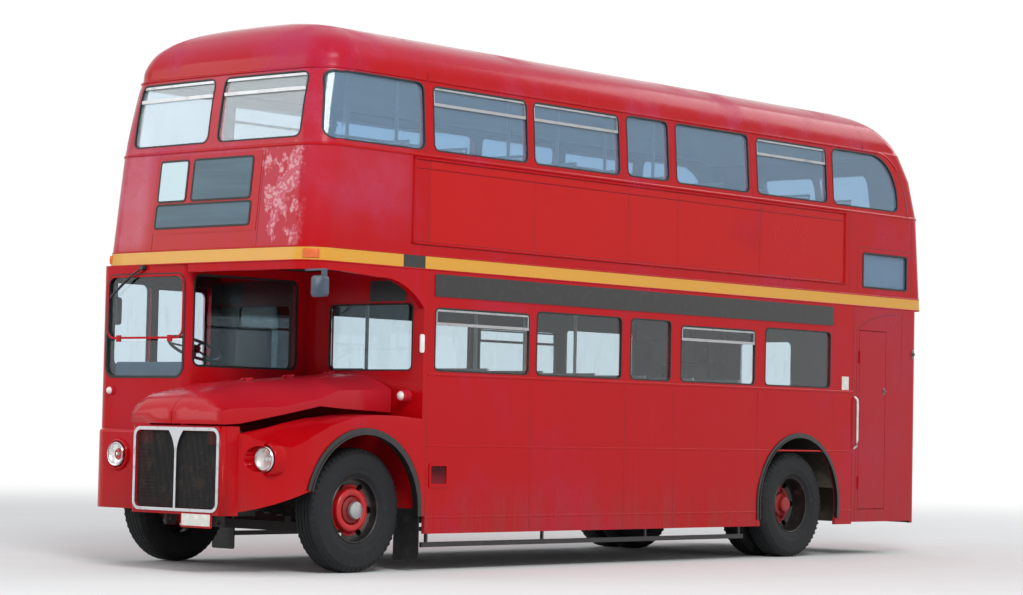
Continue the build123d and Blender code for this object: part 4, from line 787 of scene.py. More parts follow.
def blind_face(name):
    """Unmarked roller blinds behind glass: pale linen in the number box, dark elsewhere."""
    g, shader, coords = start(name)
    v = coords.outputs["Object"]
    p = g.split(v)
    pale = g.times(g.math("LESS_THAN", p[0], -0.20), g.math("GREATER_THAN", p[2], 2.91))
    pale = g.times(pale, g.math("LESS_THAN", p[1], -3.0))
    weave = g.noise(v, 260.0, 2.0)
    # painted highlights: soft lighter horizontal bands on the dark blinds where their folds would catch the
    # light
    fold_highlights = g.ramp(g.noise(g.stretch(v, (0.6, 0.6, 9.0)), 1.6, 2.0), 0.4, 0.65)
    dark = g.mix(weave, srgb(30, 66, 82), srgb(48, 86, 102))
    dark = g.mix(g.times(fold_highlights, 0.4), dark, srgb(64, 104, 120))
    light = g.mix(weave, srgb(176, 204, 212), srgb(206, 226, 230))
    g.link(g.mix(pale, dark, light), shader.inputs["Base Color"])
    g.link(g.plus(0.3, g.times(weave, 0.2)), shader.inputs["Roughness"])
    shader.inputs["Specular IOR Level"].default_value = 0.25
    shader.inputs["Coat Weight"].default_value = 0.3
    shader.inputs["Coat Roughness"].default_value = 0.04
    g.link(g.bump(weave, 0.0004, 0.4), shader.inputs["Normal"])


def make_materials():
    """Every finish that a node or a piece wears."""
    p = bpy.context.scene.bus_paint
    red, faded = tuple(p.red), tuple(p.faded)
    coach_paint("body_red", red, faded, 0.75)
    coach_paint("upper_side_red", red, faded, 0.8, extra=side_panel_extra)
    coach_paint("upper_front_red", red, faded, 0.95, extra=front_panel_extra)
    coach_paint("roof_red", red, faded, 0.95, extra=roof_extra)
    coach_paint("bulkhead_red", red, faded, 0.4, front=9.0, extra=bulkhead_extra)
    coach_paint("cab_red", red, faded, 0.5, cab=True)
    coach_paint("nose_red", red, faded, 0.7, lined=False, extra=nose_extra)
    coach_paint("door_red", red, srgb(176, 60, 84), 0.8, extra=door_extra)
    plain("band_yellow", tuple(p.band), 0.42, second=srgb(204, 158, 60), coat=0.2)
    plain("black_paint", tuple(p.black), 0.38, coat=0.2)
    plain("chassis_black", srgb(26, 25, 25), 0.62, second=srgb(72, 60, 52))
    plain("cast_iron", srgb(44, 42, 42), 0.7, 0.3, second=srgb(84, 62, 48))
    plain("chrome", srgb(206, 208, 212), 0.16, 1.0, second=srgb(150, 150, 150), bump=0.0002)
    plain("alloy", srgb(176, 178, 180), 0.36, 0.9, second=srgb(132, 132, 132))
    plain("worn_steel", srgb(120, 118, 116), 0.45, 0.8, second=srgb(96, 74, 58))
    plain("seal_rubber", srgb(22, 22, 23), 0.6, second=srgb(52, 50, 48))
    plain("tyre_rubber", srgb(12, 15, 18), 0.78, second=srgb(36, 38, 42), bump=0.0012)
    plain("white_enamel", srgb(214, 214, 206), 0.35, coat=0.3)
    plain("floor_slats", srgb(74, 66, 58), 0.75, second=srgb(104, 94, 82))
    plain("black_plastic", srgb(20, 20, 22), 0.3)
    plain("dash_blue", srgb(40, 74, 96), 0.5, bump=0.001)
    plain("mirror_shell", srgb(58, 74, 90), 0.35, second=srgb(78, 90, 100), coat=0.2)
    plain("mirror_silver", srgb(206, 212, 216), 0.06, 1.0, bump=0.0001)
    plain("seat_hide", srgb(34, 44, 40), 0.5, bump=0.001)
    plain("stair_tread", srgb(66, 62, 58), 0.7, second=srgb(116, 110, 100))
    plain("radiator", srgb(34, 34, 34), 0.6, 0.4)
    plain("orange_lens", srgb(214, 92, 20), 0.2, coat=0.6)
    plain("red_lens", srgb(150, 10, 16), 0.18, coat=0.6)
    plain("notice_white", srgb(216, 214, 206), 0.5)
    # dark red of the panel joints, used also for the painted shade lines beside the display frames
    plain("seam_dark", srgb(96, 14, 20), 0.6, second=srgb(60, 14, 16))
    plain("nut_red", srgb(186, 14, 22), 0.35, second=srgb(120, 40, 36), coat=0.1)
    plain("lamp_white", srgb(226, 226, 220), 0.2, coat=0.5)
    plain("bulb_reflector", srgb(232, 234, 232), 0.34, 0.75, bump=0.0001)
    window_glass("window_glass", (0.78, 0.87, 0.92, 1.0), 0.08)
    window_glass("upper_glass", (0.78, 0.87, 0.92, 1.0), 0.08, painted_reflection=0.16)
    window_glass("lower_glass", (0.74, 0.83, 0.87, 1.0), 0.08, screened=True)
    window_glass("lamp_glass", (0.95, 0.96, 0.96, 1.0), 0.12)
    moquette("moquette")
    blind_face("blind_linen")
    shaded_tray("intake_red", 0.70, 0.83)
    wheel_paint("front_wheel_paint", 0.0, [(0.074, srgb(176, 172, 166), 0.9), (0.108, srgb(130, 26, 26), 0.2),
                                           (0.200, srgb(170, 24, 28), 0.0), (0.212, srgb(30, 28, 28), 0.0),
                                           (9, srgb(26, 25, 26), 0.0)])
    wheel_paint("rear_wheel_paint", WHEELBASE, [(0.108, srgb(150, 26, 28), 0.0),
                                                (0.185, srgb(150, 24, 28), 0.0), (9, srgb(28, 26, 26), 0.0)])


# finish of every node of the frame
FINISH = {
    "upper_front": "upper_front_red", "upper_side_nearside": "upper_side_red",
    "upper_side_offside": "upper_side_red", "upper_rear": "body_red", "roof": "roof_red",
    "lower_side_nearside": "body_red", "lower_side_offside": "body_red", "lower_rear": "body_red",
    "front_bulkhead": "bulkhead_red", "platform_infill": "door_red", "platform_door": "door_red",
    "cab_shell": "cab_red", "cab_door": "cab_red", "bonnet": "nose_red", "bonnet_scuttle": "nose_red",
    "grille_surround": "nose_red", "wing_nearside": "nose_red", "wing_offside": "nose_red",
    "grille_trim": "chrome", "radiator_core": "radiator", "blind_boxes": "blind_linen",
    "upper_floor": "floor_slats", "lower_floor": "floor_slats", "platform_floor": "floor_slats",
    "cab_floor": "chassis_black", "cab_dash": "dash_blue", "cab_door_rails": "black_paint",
    "glass_upper": "upper_glass", "glass_lower": "lower_glass", "glass_cab": "window_glass",
    "cab_door_glass": "window_glass", "headlamps": "lamp_glass", "chassis_frame": "chassis_black",
    "leaf_springs": "chassis_black", "front_axle": "cast_iron", "rear_axle": "cast_iron",
    "knuckle_nearside": "cast_iron", "knuckle_offside": "cast_iron", "engine_block": "cast_iron",
    "gearbox": "cast_iron", "fuel_tank": "black_paint", "staircase": "stair_tread",
    "grab_poles": "white_enamel",
    "seat_frames_lower": "alloy", "seat_frames_upper": "alloy", "steering_column": "black_paint",
    "steering_wheel": "black_plastic", "lifeguard_rails": "black_paint", "mirrors": "mirror_shell",
    "rim_front_nearside": "front_wheel_paint", "rim_front_offside": "front_wheel_paint",
    "rims_rear_nearside": "rear_wheel_paint", "rims_rear_offside": "rear_wheel_paint",
    "tyre_front_nearside": "tyre_rubber", "tyre_front_offside": "tyre_rubber",
    "tyres_rear_nearside": "tyre_rubber", "tyres_rear_offside": "tyre_rubber",
    "seats_lower": "moquette", "seats_upper": "moquette", "driver_seat": "seat_hide",
}


class BUS_OT_finishes(Operator):
    """Gives every fixed piece of the bus its paint, metal, glass or rubber"""
    bl_idname = "bus.finishes"
    bl_label = "Paint and finishes"

    def execute(self, context):
        make_materials()
        for name, obj in NODES.items():
            obj.data.materials.clear()
            obj.data.materials.append(MATERIALS[FINISH[name]])
        return {"FINISHED"}


# camera of the photograph: place, yaw, pitch and roll in degrees, focal length and width in its pixels
EYE = (16.047, -15.328, 1.159)
EYE_ANGLES = (131.100, 2.749, 1.180)
FOCAL_PIXELS = 2719.3
PICTURE_WIDTH = 1023
SENSOR_WIDTH = 36.0


class BUS_OT_stage(Operator):
    """Camera, soft light and pale floor"""
    bl_idname = "bus.stage"
    bl_label = "Stage"

    def execute(self, context):
        scene = context.scene
        yaw, pitch, roll = (math.radians(a) for a in EYE_ANGLES)
        ahead = Vector((math.cos(pitch) * math.cos(yaw), math.cos(pitch) * math.sin(yaw), math.sin(pitch)))
        right = ahead.cross(Vector((0, 0, 1))).normalized()
        top = right.cross(ahead)
        cos, sin = math.cos(roll), math.sin(roll)
        right, top = cos * right + sin * top, cos * top - sin * right
        cam = bpy.data.cameras.new("camera")
        cam.sensor_width = SENSOR_WIDTH
        cam.lens = SENSOR_WIDTH * FOCAL_PIXELS / PICTURE_WIDTH
        cam.clip_end = 400
        eye = bpy.data.objects.new("camera", cam)
        eye.matrix_world = Matrix((right, top, -ahead)).transposed().to_4x4()
        eye.location = (EYE[0], EYE[1] - AXLE_Y, EYE[2])
        scene.collection.objects.link(eye)
        scene.camera = eye
        scene.view_settings.view_transform = "Standard"
        self.light(scene, "key", (15, -12, 15), 7.0, 2500)
        self.light(scene, "fill", (-12, -16, 9), 10.0, 700)
        self.light(scene, "back", (4, 18, 13), 10.0, 900)
        world = bpy.data.worlds.new("studio")
        world.use_nodes = True
        scene.world = world
        g = Graph(world.node_tree)
        g.tree.nodes.clear()
        out = g.node("ShaderNodeOutputWorld")
        soft = g.node("ShaderNodeBackground")
        soft.inputs["Color"].default_value = (0.93, 0.96, 1.0, 1)
        soft.inputs["Strength"].default_value = 0.62
        white = g.node("ShaderNodeBackground")
        white.inputs["Color"].default_value = (1, 1, 1, 1)
        mix = g.node("ShaderNodeMixShader")
        g.link(self.seen(g), mix.inputs[0])
        g.link(soft.outputs[0], mix.inputs[1])
        g.link(white.outputs[0], mix.inputs[2])
        g.link(mix.outputs[0], out.inputs[0])
        self.floor(scene)
        return {"FINISHED"}

    @staticmethod
    def seen(g):
        """1 for rays that show the surroundings to the camera, in glass and in paint; 0 for light."""
        path = g.node("ShaderNodeLightPath")
        a = g.math("MAXIMUM", path.outputs["Is Camera Ray"], path.outputs["Is Glossy Ray"])
        return g.math("MAXIMUM", a, path.outputs["Is Transmission Ray"])

    @staticmethod
    def light(scene, name, place, size, power):
        data = bpy.data.lights.new(name, "AREA")
        data.size = size
        data.energy = power
        obj = bpy.data.objects.new(name, data)
        obj.location = place
        obj.rotation_euler = (Vector((0, 0, 1.6)) - Vector(place)).to_track_quat("-Z", "Y").to_euler()
        scene.collection.objects.link(obj)

    def floor(self, scene):
        """Pale round floor that melts into the white of the background far out."""
        bm = bmesh.new()
        bmesh.ops.create_circle(bm, cap_ends=True, segments=64, radius=120)
        mesh = bpy.data.meshes.new("floor")
        bm.to_mesh(mesh)
        bm.free()
        obj = bpy.data.objects.new("floor", mesh)
        scene.collection.objects.link(obj)
        g, shader, coords = start("floor_pale")
        v = coords.outputs["Object"]
        n = g.node("ShaderNodeVectorMath", operation="LENGTH")
        g.link(v, n.inputs[0])
        far = g.ramp(n.outputs["Value"], 9.0, 26.0)
        pale = g.mix(g.noise(v, 1.5, 4.0), (0.74, 0.74, 0.74, 1), (0.80, 0.80, 0.79, 1))
        g.link(pale, shader.inputs["Base Color"])
        shader.inputs["Roughness"].default_value = 0.9
        glow = g.node("ShaderNodeEmission")
        mix = g.node("ShaderNodeMixShader")
        g.link(g.times(far, self.seen(g)), mix.inputs[0])
        g.link(shader.outputs[0], mix.inputs[1])
        g.link(glow.outputs[0], mix.inputs[2])
        out = [x for x in g.tree.nodes if x.bl_idname == "ShaderNodeOutputMaterial"][0]
        g.link(mix.outputs[0], out.inputs[0])
        mesh.materials.append(MATERIALS["floor_pale"])


# shared ways to lay trim on the body


def side_point(y, z, off=0.0):
    """Point of the upper skin on the nearside at a place along and a height; it follows both corners."""
    _, half, front, rear, bow_f, bow_r, r_f, r_r = skin_row(z)
    for s, at, bow, r in ((1, front, bow_f, r_f), (-1, rear, bow_r, r_r)):
        corner = end_centre(half, at, bow, r, s)[2]
        past = (corner - y) * s
        if past > 0:
            return Vector((half - r + math.sqrt(max((r + off) ** 2 - past ** 2, 0)), y, z))
    return Vector((half + off, y, z))


def end_point(x, z, off=0.0, end="front"):
    """Point of the upper skin on the front or rear at a place across and a height."""
    _, half, front, rear, bow_f, bow_r, r_f, r_r = skin_row(z)
    s, at, bow, r = (1, front, bow_f, r_f) if end == "front" else (-1, rear, bow_r, r_r)
    big, mid, corner = end_centre(half, at, bow, r, s)
    if abs(x) <= (half - r) * big / (big - r):
        return Vector((x, mid - s * math.sqrt((big + off) ** 2 - x ** 2), z))
    return Vector((x, corner - s * math.sqrt(max((r + off) ** 2 - (abs(x) - half + r) ** 2, 0)), z))


def dense(outer, inner, step=0.1):
    """Both outlines with their long edges cut into equally many short ones."""
    a, b = [], []
    for i in range(len(outer)):
        p, q = Vector(outer[i]), Vector(outer[(i + 1) % len(outer)])
        u, v = Vector(inner[i]), Vector(inner[(i + 1) % len(inner)])
        n = max(1, round((q - p).length / step))
        for k in range(n):
            a.append(p.lerp(q, k / n))
            b.append(u.lerp(v, k / n))
    return a, b


def seal(bm, row, spot, width, out=0.003, deep=-0.015):
    """Rubber or frame round a window; half of its width lies outside the opening."""
    outer = rounded(*row, grow=width / 2)
    inner = rounded(*row, grow=-width / 2)
    outer, inner = dense(outer, inner)
    ring_on(bm, outer, inner, spot, (out, deep))


def belt(bm, profile, marks=(), slot_of=None):
    """Strip all round the upper body; marks are places along the nearside where an edge must fall."""
    ends = [(skin_path(z, off), list(reversed(skin_path(z, off, end="rear")))) for z, off in profile]
    y0 = max(front[-1][1] for front, _ in ends)
    y1 = min(rear[0][1] for _, rear in ends)
    runs = [y0 + (y1 - y0) * k / 24 for k in range(1, 24)]
    marked = sorted([y for y in runs if all(abs(y - m) > 0.05 for m in marks)] + list(marks), reverse=True)
    paths = []
    for (z, _), (front, rear) in zip(profile, ends):
        x = front[0][0]
        paths.append(front + [(-x, y, z) for y in runs] + rear + [(x, y, z) for y in marked])
    rings = [[path[i] for path in paths] for i in range(len(paths[0]))]
    loop_rings(bm, rings)
    if slot_of:
        for face in bm.faces:
            face.material_index = slot_of(face.calc_center_median())


def wrap(bm, profile, row, **place):
    """Strip round one end of the body along one section; the profile lists (height, stand-out) points."""
    paths = [skin_path(z, off, row=row, **place) for z, off in profile]
    loft_rings(bm, [[path[i] for path in paths] for i in range(len(paths[0]))])


def skin_bead(bm, s, path, width, out):
    """Half-round strip along (y, z) points of the upper side."""
    rings = []
    for i, p in enumerate(path):
        a, b = path[max(i - 1, 0)], path[min(i + 1, len(path) - 1)]
        run = Vector((b[0] - a[0], b[1] - a[1])).normalized()
        ring = []
        for d, off in ((-0.5, -0.002), (-0.5, out * 0.3), (-0.28, out * 0.85), (0, out), (0.28, out * 0.85),
                       (0.5, out * 0.3), (0.5, -0.002)):
            q = side_point(p[0] - run.y * d * width, p[1] + run.x * d * width, off)
            ring.append((s * q.x, q.y, q.z))
        rings.append(ring)
    loft_rings(bm, rings)


def bead(z, height, out):
    """Profile of a half-round moulding about a height."""
    h = height / 2
    return [(z - h, -0.002), (z - h, out * 0.25), (z - h * 0.55, out * 0.85), (z, out),
            (z + h * 0.55, out * 0.85), (z + h, out * 0.25), (z + h, -0.002)]


ARCH_STEPS = 40


def sector(bm, centre, r0, r1, a0, a1, x0, x1, legs=(None, None)):
    """Flat band along a wheel arch; legs are the heights to which its two ends run straight down."""
    cy, cz = centre
    rings = []

    def row(y0, z0, y1, z1):
        rings.append([(x0, y0, z0), (x1, y0, z0), (x1, y1, z1), (x0, y1, z1)])

    if legs[0] is not None:
        a = math.radians(a0)
        row(cy + r0 * math.cos(a), legs[0], cy + r1 * math.cos(a), legs[0])
    for k in range(ARCH_STEPS + 1):
        a = math.radians(a0 + (a1 - a0) * k / ARCH_STEPS)
        row(cy + r0 * math.cos(a), cz + r0 * math.sin(a), cy + r1 * math.cos(a), cz + r1 * math.sin(a))
    if legs[1] is not None:
        a = math.radians(a1)
        row(cy + r0 * math.cos(a), legs[1], cy + r1 * math.cos(a), legs[1])
    loft_rings(bm, rings)


def scatter_tree():
    """Geometry Nodes tree that sets one unit on every point, turned by the point's own angles."""
    tree = bpy.data.node_groups.get("Scatter")
    if tree:
        return tree
    tree = bpy.data.node_groups.new("Scatter", "GeometryNodeTree")
    for label, kind in (("Points", "NodeSocketGeometry"), ("Unit", "NodeSocketObject"),
                        ("Material", "NodeSocketMaterial"), ("Jitter", "NodeSocketFloat"),
                        ("Seed", "NodeSocketInt")):
        tree.interface.new_socket(label, in_out="INPUT", socket_type=kind)
    tree.interface.new_socket("Geometry", in_out="OUTPUT", socket_type="NodeSocketGeometry")
    g = Graph(tree)
    given = g.node("NodeGroupInput").outputs
    unit = g.node("GeometryNodeObjectInfo")
    g.link(given["Unit"], unit.inputs["Object"])
    named = g.node("GeometryNodeInputNamedAttribute", data_type="FLOAT_VECTOR")
    named.inputs["Name"].default_value = "turn"
    turn = g.node("FunctionNodeEulerToRotation")
    g.link(named.outputs["Attribute"], turn.inputs[0])
    amount = g.node("FunctionNodeRandomValue", data_type="FLOAT")
    g.link(g.times(given["Jitter"], -1.0), amount.inputs[2])
    g.link(given["Jitter"], amount.inputs[3])
    g.link(given["Seed"], amount.inputs["Seed"])
    own = g.node("ShaderNodeCombineXYZ")
    g.link(amount.outputs[1], own.inputs[2])
    spin = g.node("FunctionNodeEulerToRotation")
    g.link(own.outputs[0], spin.inputs[0])
    both = g.node("FunctionNodeRotateRotation", rotation_space="LOCAL")
    g.link(turn.outputs[0], both.inputs[0])
    g.link(spin.outputs[0], both.inputs[1])
    place = g.node("GeometryNodeInstanceOnPoints")
    g.link(given["Points"], place.inputs["Points"])
    g.link(unit.outputs["Geometry"], place.inputs["Instance"])
    g.link(both.outputs[0], place.inputs["Rotation"])
    real = g.node("GeometryNodeRealizeInstances")
    g.link(place.outputs[0], real.inputs[0])
    paint = g.node("GeometryNodeSetMaterial")
    g.link(real.outputs[0], paint.inputs["Geometry"])
    g.link(given["Material"], paint.inputs["Material"])
    g.link(paint.outputs[0], g.node("NodeGroupOutput").inputs[0])
    return tree


def scatter(name, spots, unit, finish, body=BODY, jitter=0.0):
    """One piece made of a unit mesh set on many spots: (place, its axis, its up)."""
    merged(unit)
    small = bpy.data.meshes.new(name + "_unit")
    unit.to_mesh(small)
    unit.free()
    helper = bpy.data.objects.new(name + "_unit", small)
    points = bpy.data.meshes.new(name + "_points")
    points.from_pydata([(p[0], p[1] - AXLE_Y, p[2]) for p, _, _ in spots], [], [])
    attribute = points.attributes.new("turn", "FLOAT_VECTOR", "POINT")
    for i, (_, axis, up) in enumerate(spots):
        z = Vector(axis).normalized()
        x = Vector(up).cross(z).normalized()
        turn = Matrix((x, z.cross(x), z)).transposed().to_euler()
        attribute.data[i].vector = tuple(turn)
    carrier = bpy.data.objects.new(name + "_points", points)
    for o in (helper, carrier):
        bpy.context.scene.collection.objects.link(o)
    tree = scatter_tree()
    mod = carrier.modifiers.new("scatter", "NODES")
    mod.node_group = tree
    values = {"Unit": helper, "Material": MATERIALS[finish], "Jitter": jitter, "Seed": 3}
    for item in tree.interface.items_tree:
        if item.in_out == "INPUT" and item.name in values:
            mod[item.identifier] = values[item.name]
    bpy.context.view_layer.update()
    done = carrier.evaluated_get(bpy.context.evaluated_depsgraph_get())
    mesh = bpy.data.meshes.new_from_object(done)
    mesh.name = name
    for o, m in ((carrier, points), (helper, small)):
        bpy.data.objects.remove(o)
        bpy.data.meshes.remove(m)
    dress(name, mesh, finish, body)


# the black block in the band: from and to along the nearside
BAND_BLOCK = (0.354, 0.610)


def band_slot(centre):
    """Which of the band's two finishes a face has."""
    return 1 if centre.x > 1.1 and BAND_BLOCK[0] < centre.y < BAND_BLOCK[1] else 0


class BUS_OT_belts(Operator):
    """Mustard band between the decks, the mouldings and the gutter"""
    bl_idname = "bus.belts"
    bl_label = "Band and mouldings"

    def execute(self, context):
        trim = context.scene.bus_trim
        bm = bmesh.new()
        z0, z1 = trim.band_low, trim.band_high
        belt(bm, [(z0, -0.002), (z0, 0.003), (z1, 0.003), (z1, -0.002)], BAND_BLOCK, band_slot)
        piece("colour_band", bm, ["band_yellow", "black_paint"])
        bm = bmesh.new()
        belt(bm, bead(z0 - 0.006, 0.014, 0.007))
        belt(bm, bead(z1 + 0.006, 0.014, 0.007))
        belt(bm, bead(3.330, 0.026, 0.009))
        piece("upper_mouldings", bm, "body_red")
        bm = bmesh.new()
        wrap(bm, bead(3.943, 0.018, 0.012), skin_row(3.943), y_near=GUTTER_END, y_off=GUTTER_END)
        for s in (1, -1):
            turn = [math.radians(90 * k / 14) for k in range(15)]
            path = [(GUTTER_END - 0.01 + 0.510 * math.sin(a), 3.343 + 0.600 * math.cos(a)) for a in turn]
            skin_bead(bm, s, path, 0.018, 0.008)
        piece("gutter", bm, "roof_red")
        bm = bmesh.new()
        for s, y1 in ((1, 6.733), (-1, 7.700)):
            side_strip(bm, s, 0.665, y1, 1.564, 1.586, 0.006)
            side_strip(bm, s, 0.665, y1, 0.995, 1.009, 0.003)
            for a, b in ((0.665, 5.190), (6.490, y1)):
                side_strip(bm, s, a, b, 0.424, 0.438, 0.004)
        piece("lower_mouldings", bm, "body_red")
        return {"FINISHED"}


# where the gutter starts to fall at the rear; places of the panel joints along each deck
GUTTER_END = 7.160
SEAMS_LOWER = (1.947, 3.203, 3.910, 5.163, 6.404)
SEAMS_UPPER = (0.640, 1.947, 3.203, 3.910, 5.163, 6.640)
# a panel joint's width, and how far a panel joint or a painted shade line stands out;
# low and high edge of the panels between the decks
JOINT_WIDTH = 0.004
DARK_LINE_OUT = 0.0012
PANEL_HEIGHT = (2.535, 3.318)


class BUS_OT_seams(Operator):
    """Panel joints on both sides, the roof and the front"""
    bl_idname = "bus.seams"
    bl_label = "Panel joints"

    def execute(self, context):
        bm = bmesh.new()
        for s in (1, -1):
            for y in SEAMS_LOWER:
                low = 1.17 if 5.2 < y < 6.5 else 0.31
                upright_strip(bm, s, y, JOINT_WIDTH, low, 1.562, DARK_LINE_OUT)
                upright_strip(bm, s, y, JOINT_WIDTH, 2.150, 2.414, DARK_LINE_OUT)
            upright_strip(bm, s, 0.668, 0.005, 0.32, 2.414, 0.0015)
            upright_strip(bm, s, 6.729, 0.005, 0.32, 2.414, 0.0015)
            for y in SEAMS_UPPER:
                upright_strip(bm, s, y, JOINT_WIDTH, *PANEL_HEIGHT, DARK_LINE_OUT)
            for y in (0.598, 1.894, 3.136, 3.835, 5.055, 6.308):
                upright_strip(bm, s, y, JOINT_WIDTH, 3.345, 3.930, DARK_LINE_OUT, skin_x)
            upright_strip(bm, s, 7.730, 0.005, *PANEL_HEIGHT, 0.0015)
        for y in (0.640, 6.900):
            path = [(x, z) for z, x in ROOF_PROFILE]
            path = path + [(-x, z) for x, z in reversed(path)]
            section = ((0.998, -0.002), (1.0012, -0.002), (1.0012, 0.002), (0.998, 0.002))
            loft_rings(bm, [[(x * k, y + d, 3.9 + (z - 3.9) * k) for k, d in section] for x, z in path])
        for x in (-0.60, 0.62):
            a, b = x - 0.002, x + 0.002
            rings = []
            for k in range(9):
                z = 2.54 + 0.78 * k / 8
                p = end_point(x, z, 0.0012)
                q = end_point(x, z, -0.002)
                rings.append([(a, q.y, z), (a, p.y, z), (b, p.y, z), (b, q.y, z)])
            loft_rings(bm, rings)
        piece("panel_joints", bm, "seam_dark")
        return {"FINISHED"}


def frame_strip(bm, s, y0, y1, z0, z1, width, out):
    """Raised rectangle of half-round strips on one side."""
    for z in (z0, z1):
        side_strip(bm, s, y0 - width / 2, y1 + width / 2, z - width / 2, z + width / 2, out)
    for y in (y0, y1):
        upright_strip(bm, s, y, width, z0, z1, out)


class BUS_OT_pressings(Operator):
    """Bonnet, scuttle, wings and grille shell again, with their facets shaded as one curved sheet"""
    bl_idname = "bus.pressings"
    bl_label = "Smooth pressings"

    def execute(self, context):
        for name, body in (("bonnet", "bonnet_body"), ("bonnet_scuttle", BODY), ("wing_nearside", BODY),
                           ("wing_offside", BODY), ("grille_surround", BODY)):
            bm = bmesh.new()
            bm.from_mesh(NODES[name].data)
            bm.transform(NODES[name].matrix_world)
            merged(bm)
            mesh = bpy.data.meshes.new(name + "_pressing")
            bm.to_mesh(mesh)
            bm.free()
            dress(name + "_pressing", mesh, "nose_red", body, angle=30, replaces=(name,))
        return {"FINISHED"}


# display frame on both sides: y0, y1, z0, z1 of the middle of its strips
DISPLAY_FRAME = (0.461, 6.560, 2.622, 3.303)


class BUS_OT_boards(Operator):
    """Empty display frames between the decks with painted shade lines beside their strips,
    and the blank black board above the lower windows
    """
    bl_idname = "bus.boards"
    bl_label = "Side frames and boards"

    def execute(self, context):
        bm = bmesh.new()
        for s in (1, -1):
            frame_strip(bm, s, *DISPLAY_FRAME, 0.024, 0.016)
            side_strip(bm, s, 0.480, 6.540, 3.222, 3.231, 0.006)
        piece("display_frames", bm, "body_red")
        # painted shade: thin dark lines along both edges of each frame strip and under the strip below the
        # frame's top; the line at the rear of the nearside is a real panel joint
        bm = bmesh.new()
        for s in (1, -1):
            for z in (2.6085, 2.6355, 3.2895, 3.3165, 3.2205):
                side_strip(bm, s, 0.476, 6.545, z - 0.0015, z + 0.0015, DARK_LINE_OUT)
            for y in (0.4475, 0.4745, 6.5465, 6.5735):
                upright_strip(bm, s, y, 0.003, 2.610, 3.315, DARK_LINE_OUT)
        top = 2.990
        side_strip(bm, 1, 6.780, 7.728, top - 0.002, top + 0.002, 0.0015)
        upright_strip(bm, 1, 6.780, 0.004, 2.535, top, 0.0015)
        piece("frame_joints", bm, "seam_dark")
        plate("blank_board", rounded(0.730, 6.370, 2.205, 2.385, 0.012), "yz", 1.2185, 1.2275, 0.003,
              "black_paint")
        return {"FINISHED"}


class BUS_OT_front_blinds(Operator):
    """Removable panel of the front blinds: three glazed, unmarked faces in black frames"""
    bl_idname = "bus.front_blinds"
    bl_label = "Front blinds"

    def execute(self, context):
        panel, rubber, face = bmesh.new(), bmesh.new(), bmesh.new()
        self.curved(panel, -0.622, 0.600, 2.662, 3.292, 0.0, 0.004)
        piece("blind_panel", panel, "nose_red")
        for row in BLINDS:
            seal(rubber, (*row, 0.026), end_point, 0.016, 0.0085, 0.002)
            x0, x1, z0, z1 = row
            self.curved(face, x0 + 0.003, x1 - 0.003, z0 + 0.003, z1 - 0.003, 0.0045, 0.006)
        piece("blind_frames", rubber, "seal_rubber")
        piece("blind_faces", face, "blind_linen")
        return {"FINISHED"}

    @staticmethod
    def curved(bm, x0, x1, z0, z1, low, high):
        """Thin plate that follows the bow of the front."""
        mid = (z0 + z1) / 2
        section = ((z0, low), (z0, high), (mid, high), (z1, high), (z1, low), (mid, low))
        steps = max(4, round((x1 - x0) / 0.07))
        rows = []
        for k in range(steps + 1):
            x = x0 + (x1 - x0) * k / steps
            rows.append([end_point(x, z, off) for z, off in section])
        loft_rings(bm, rows)


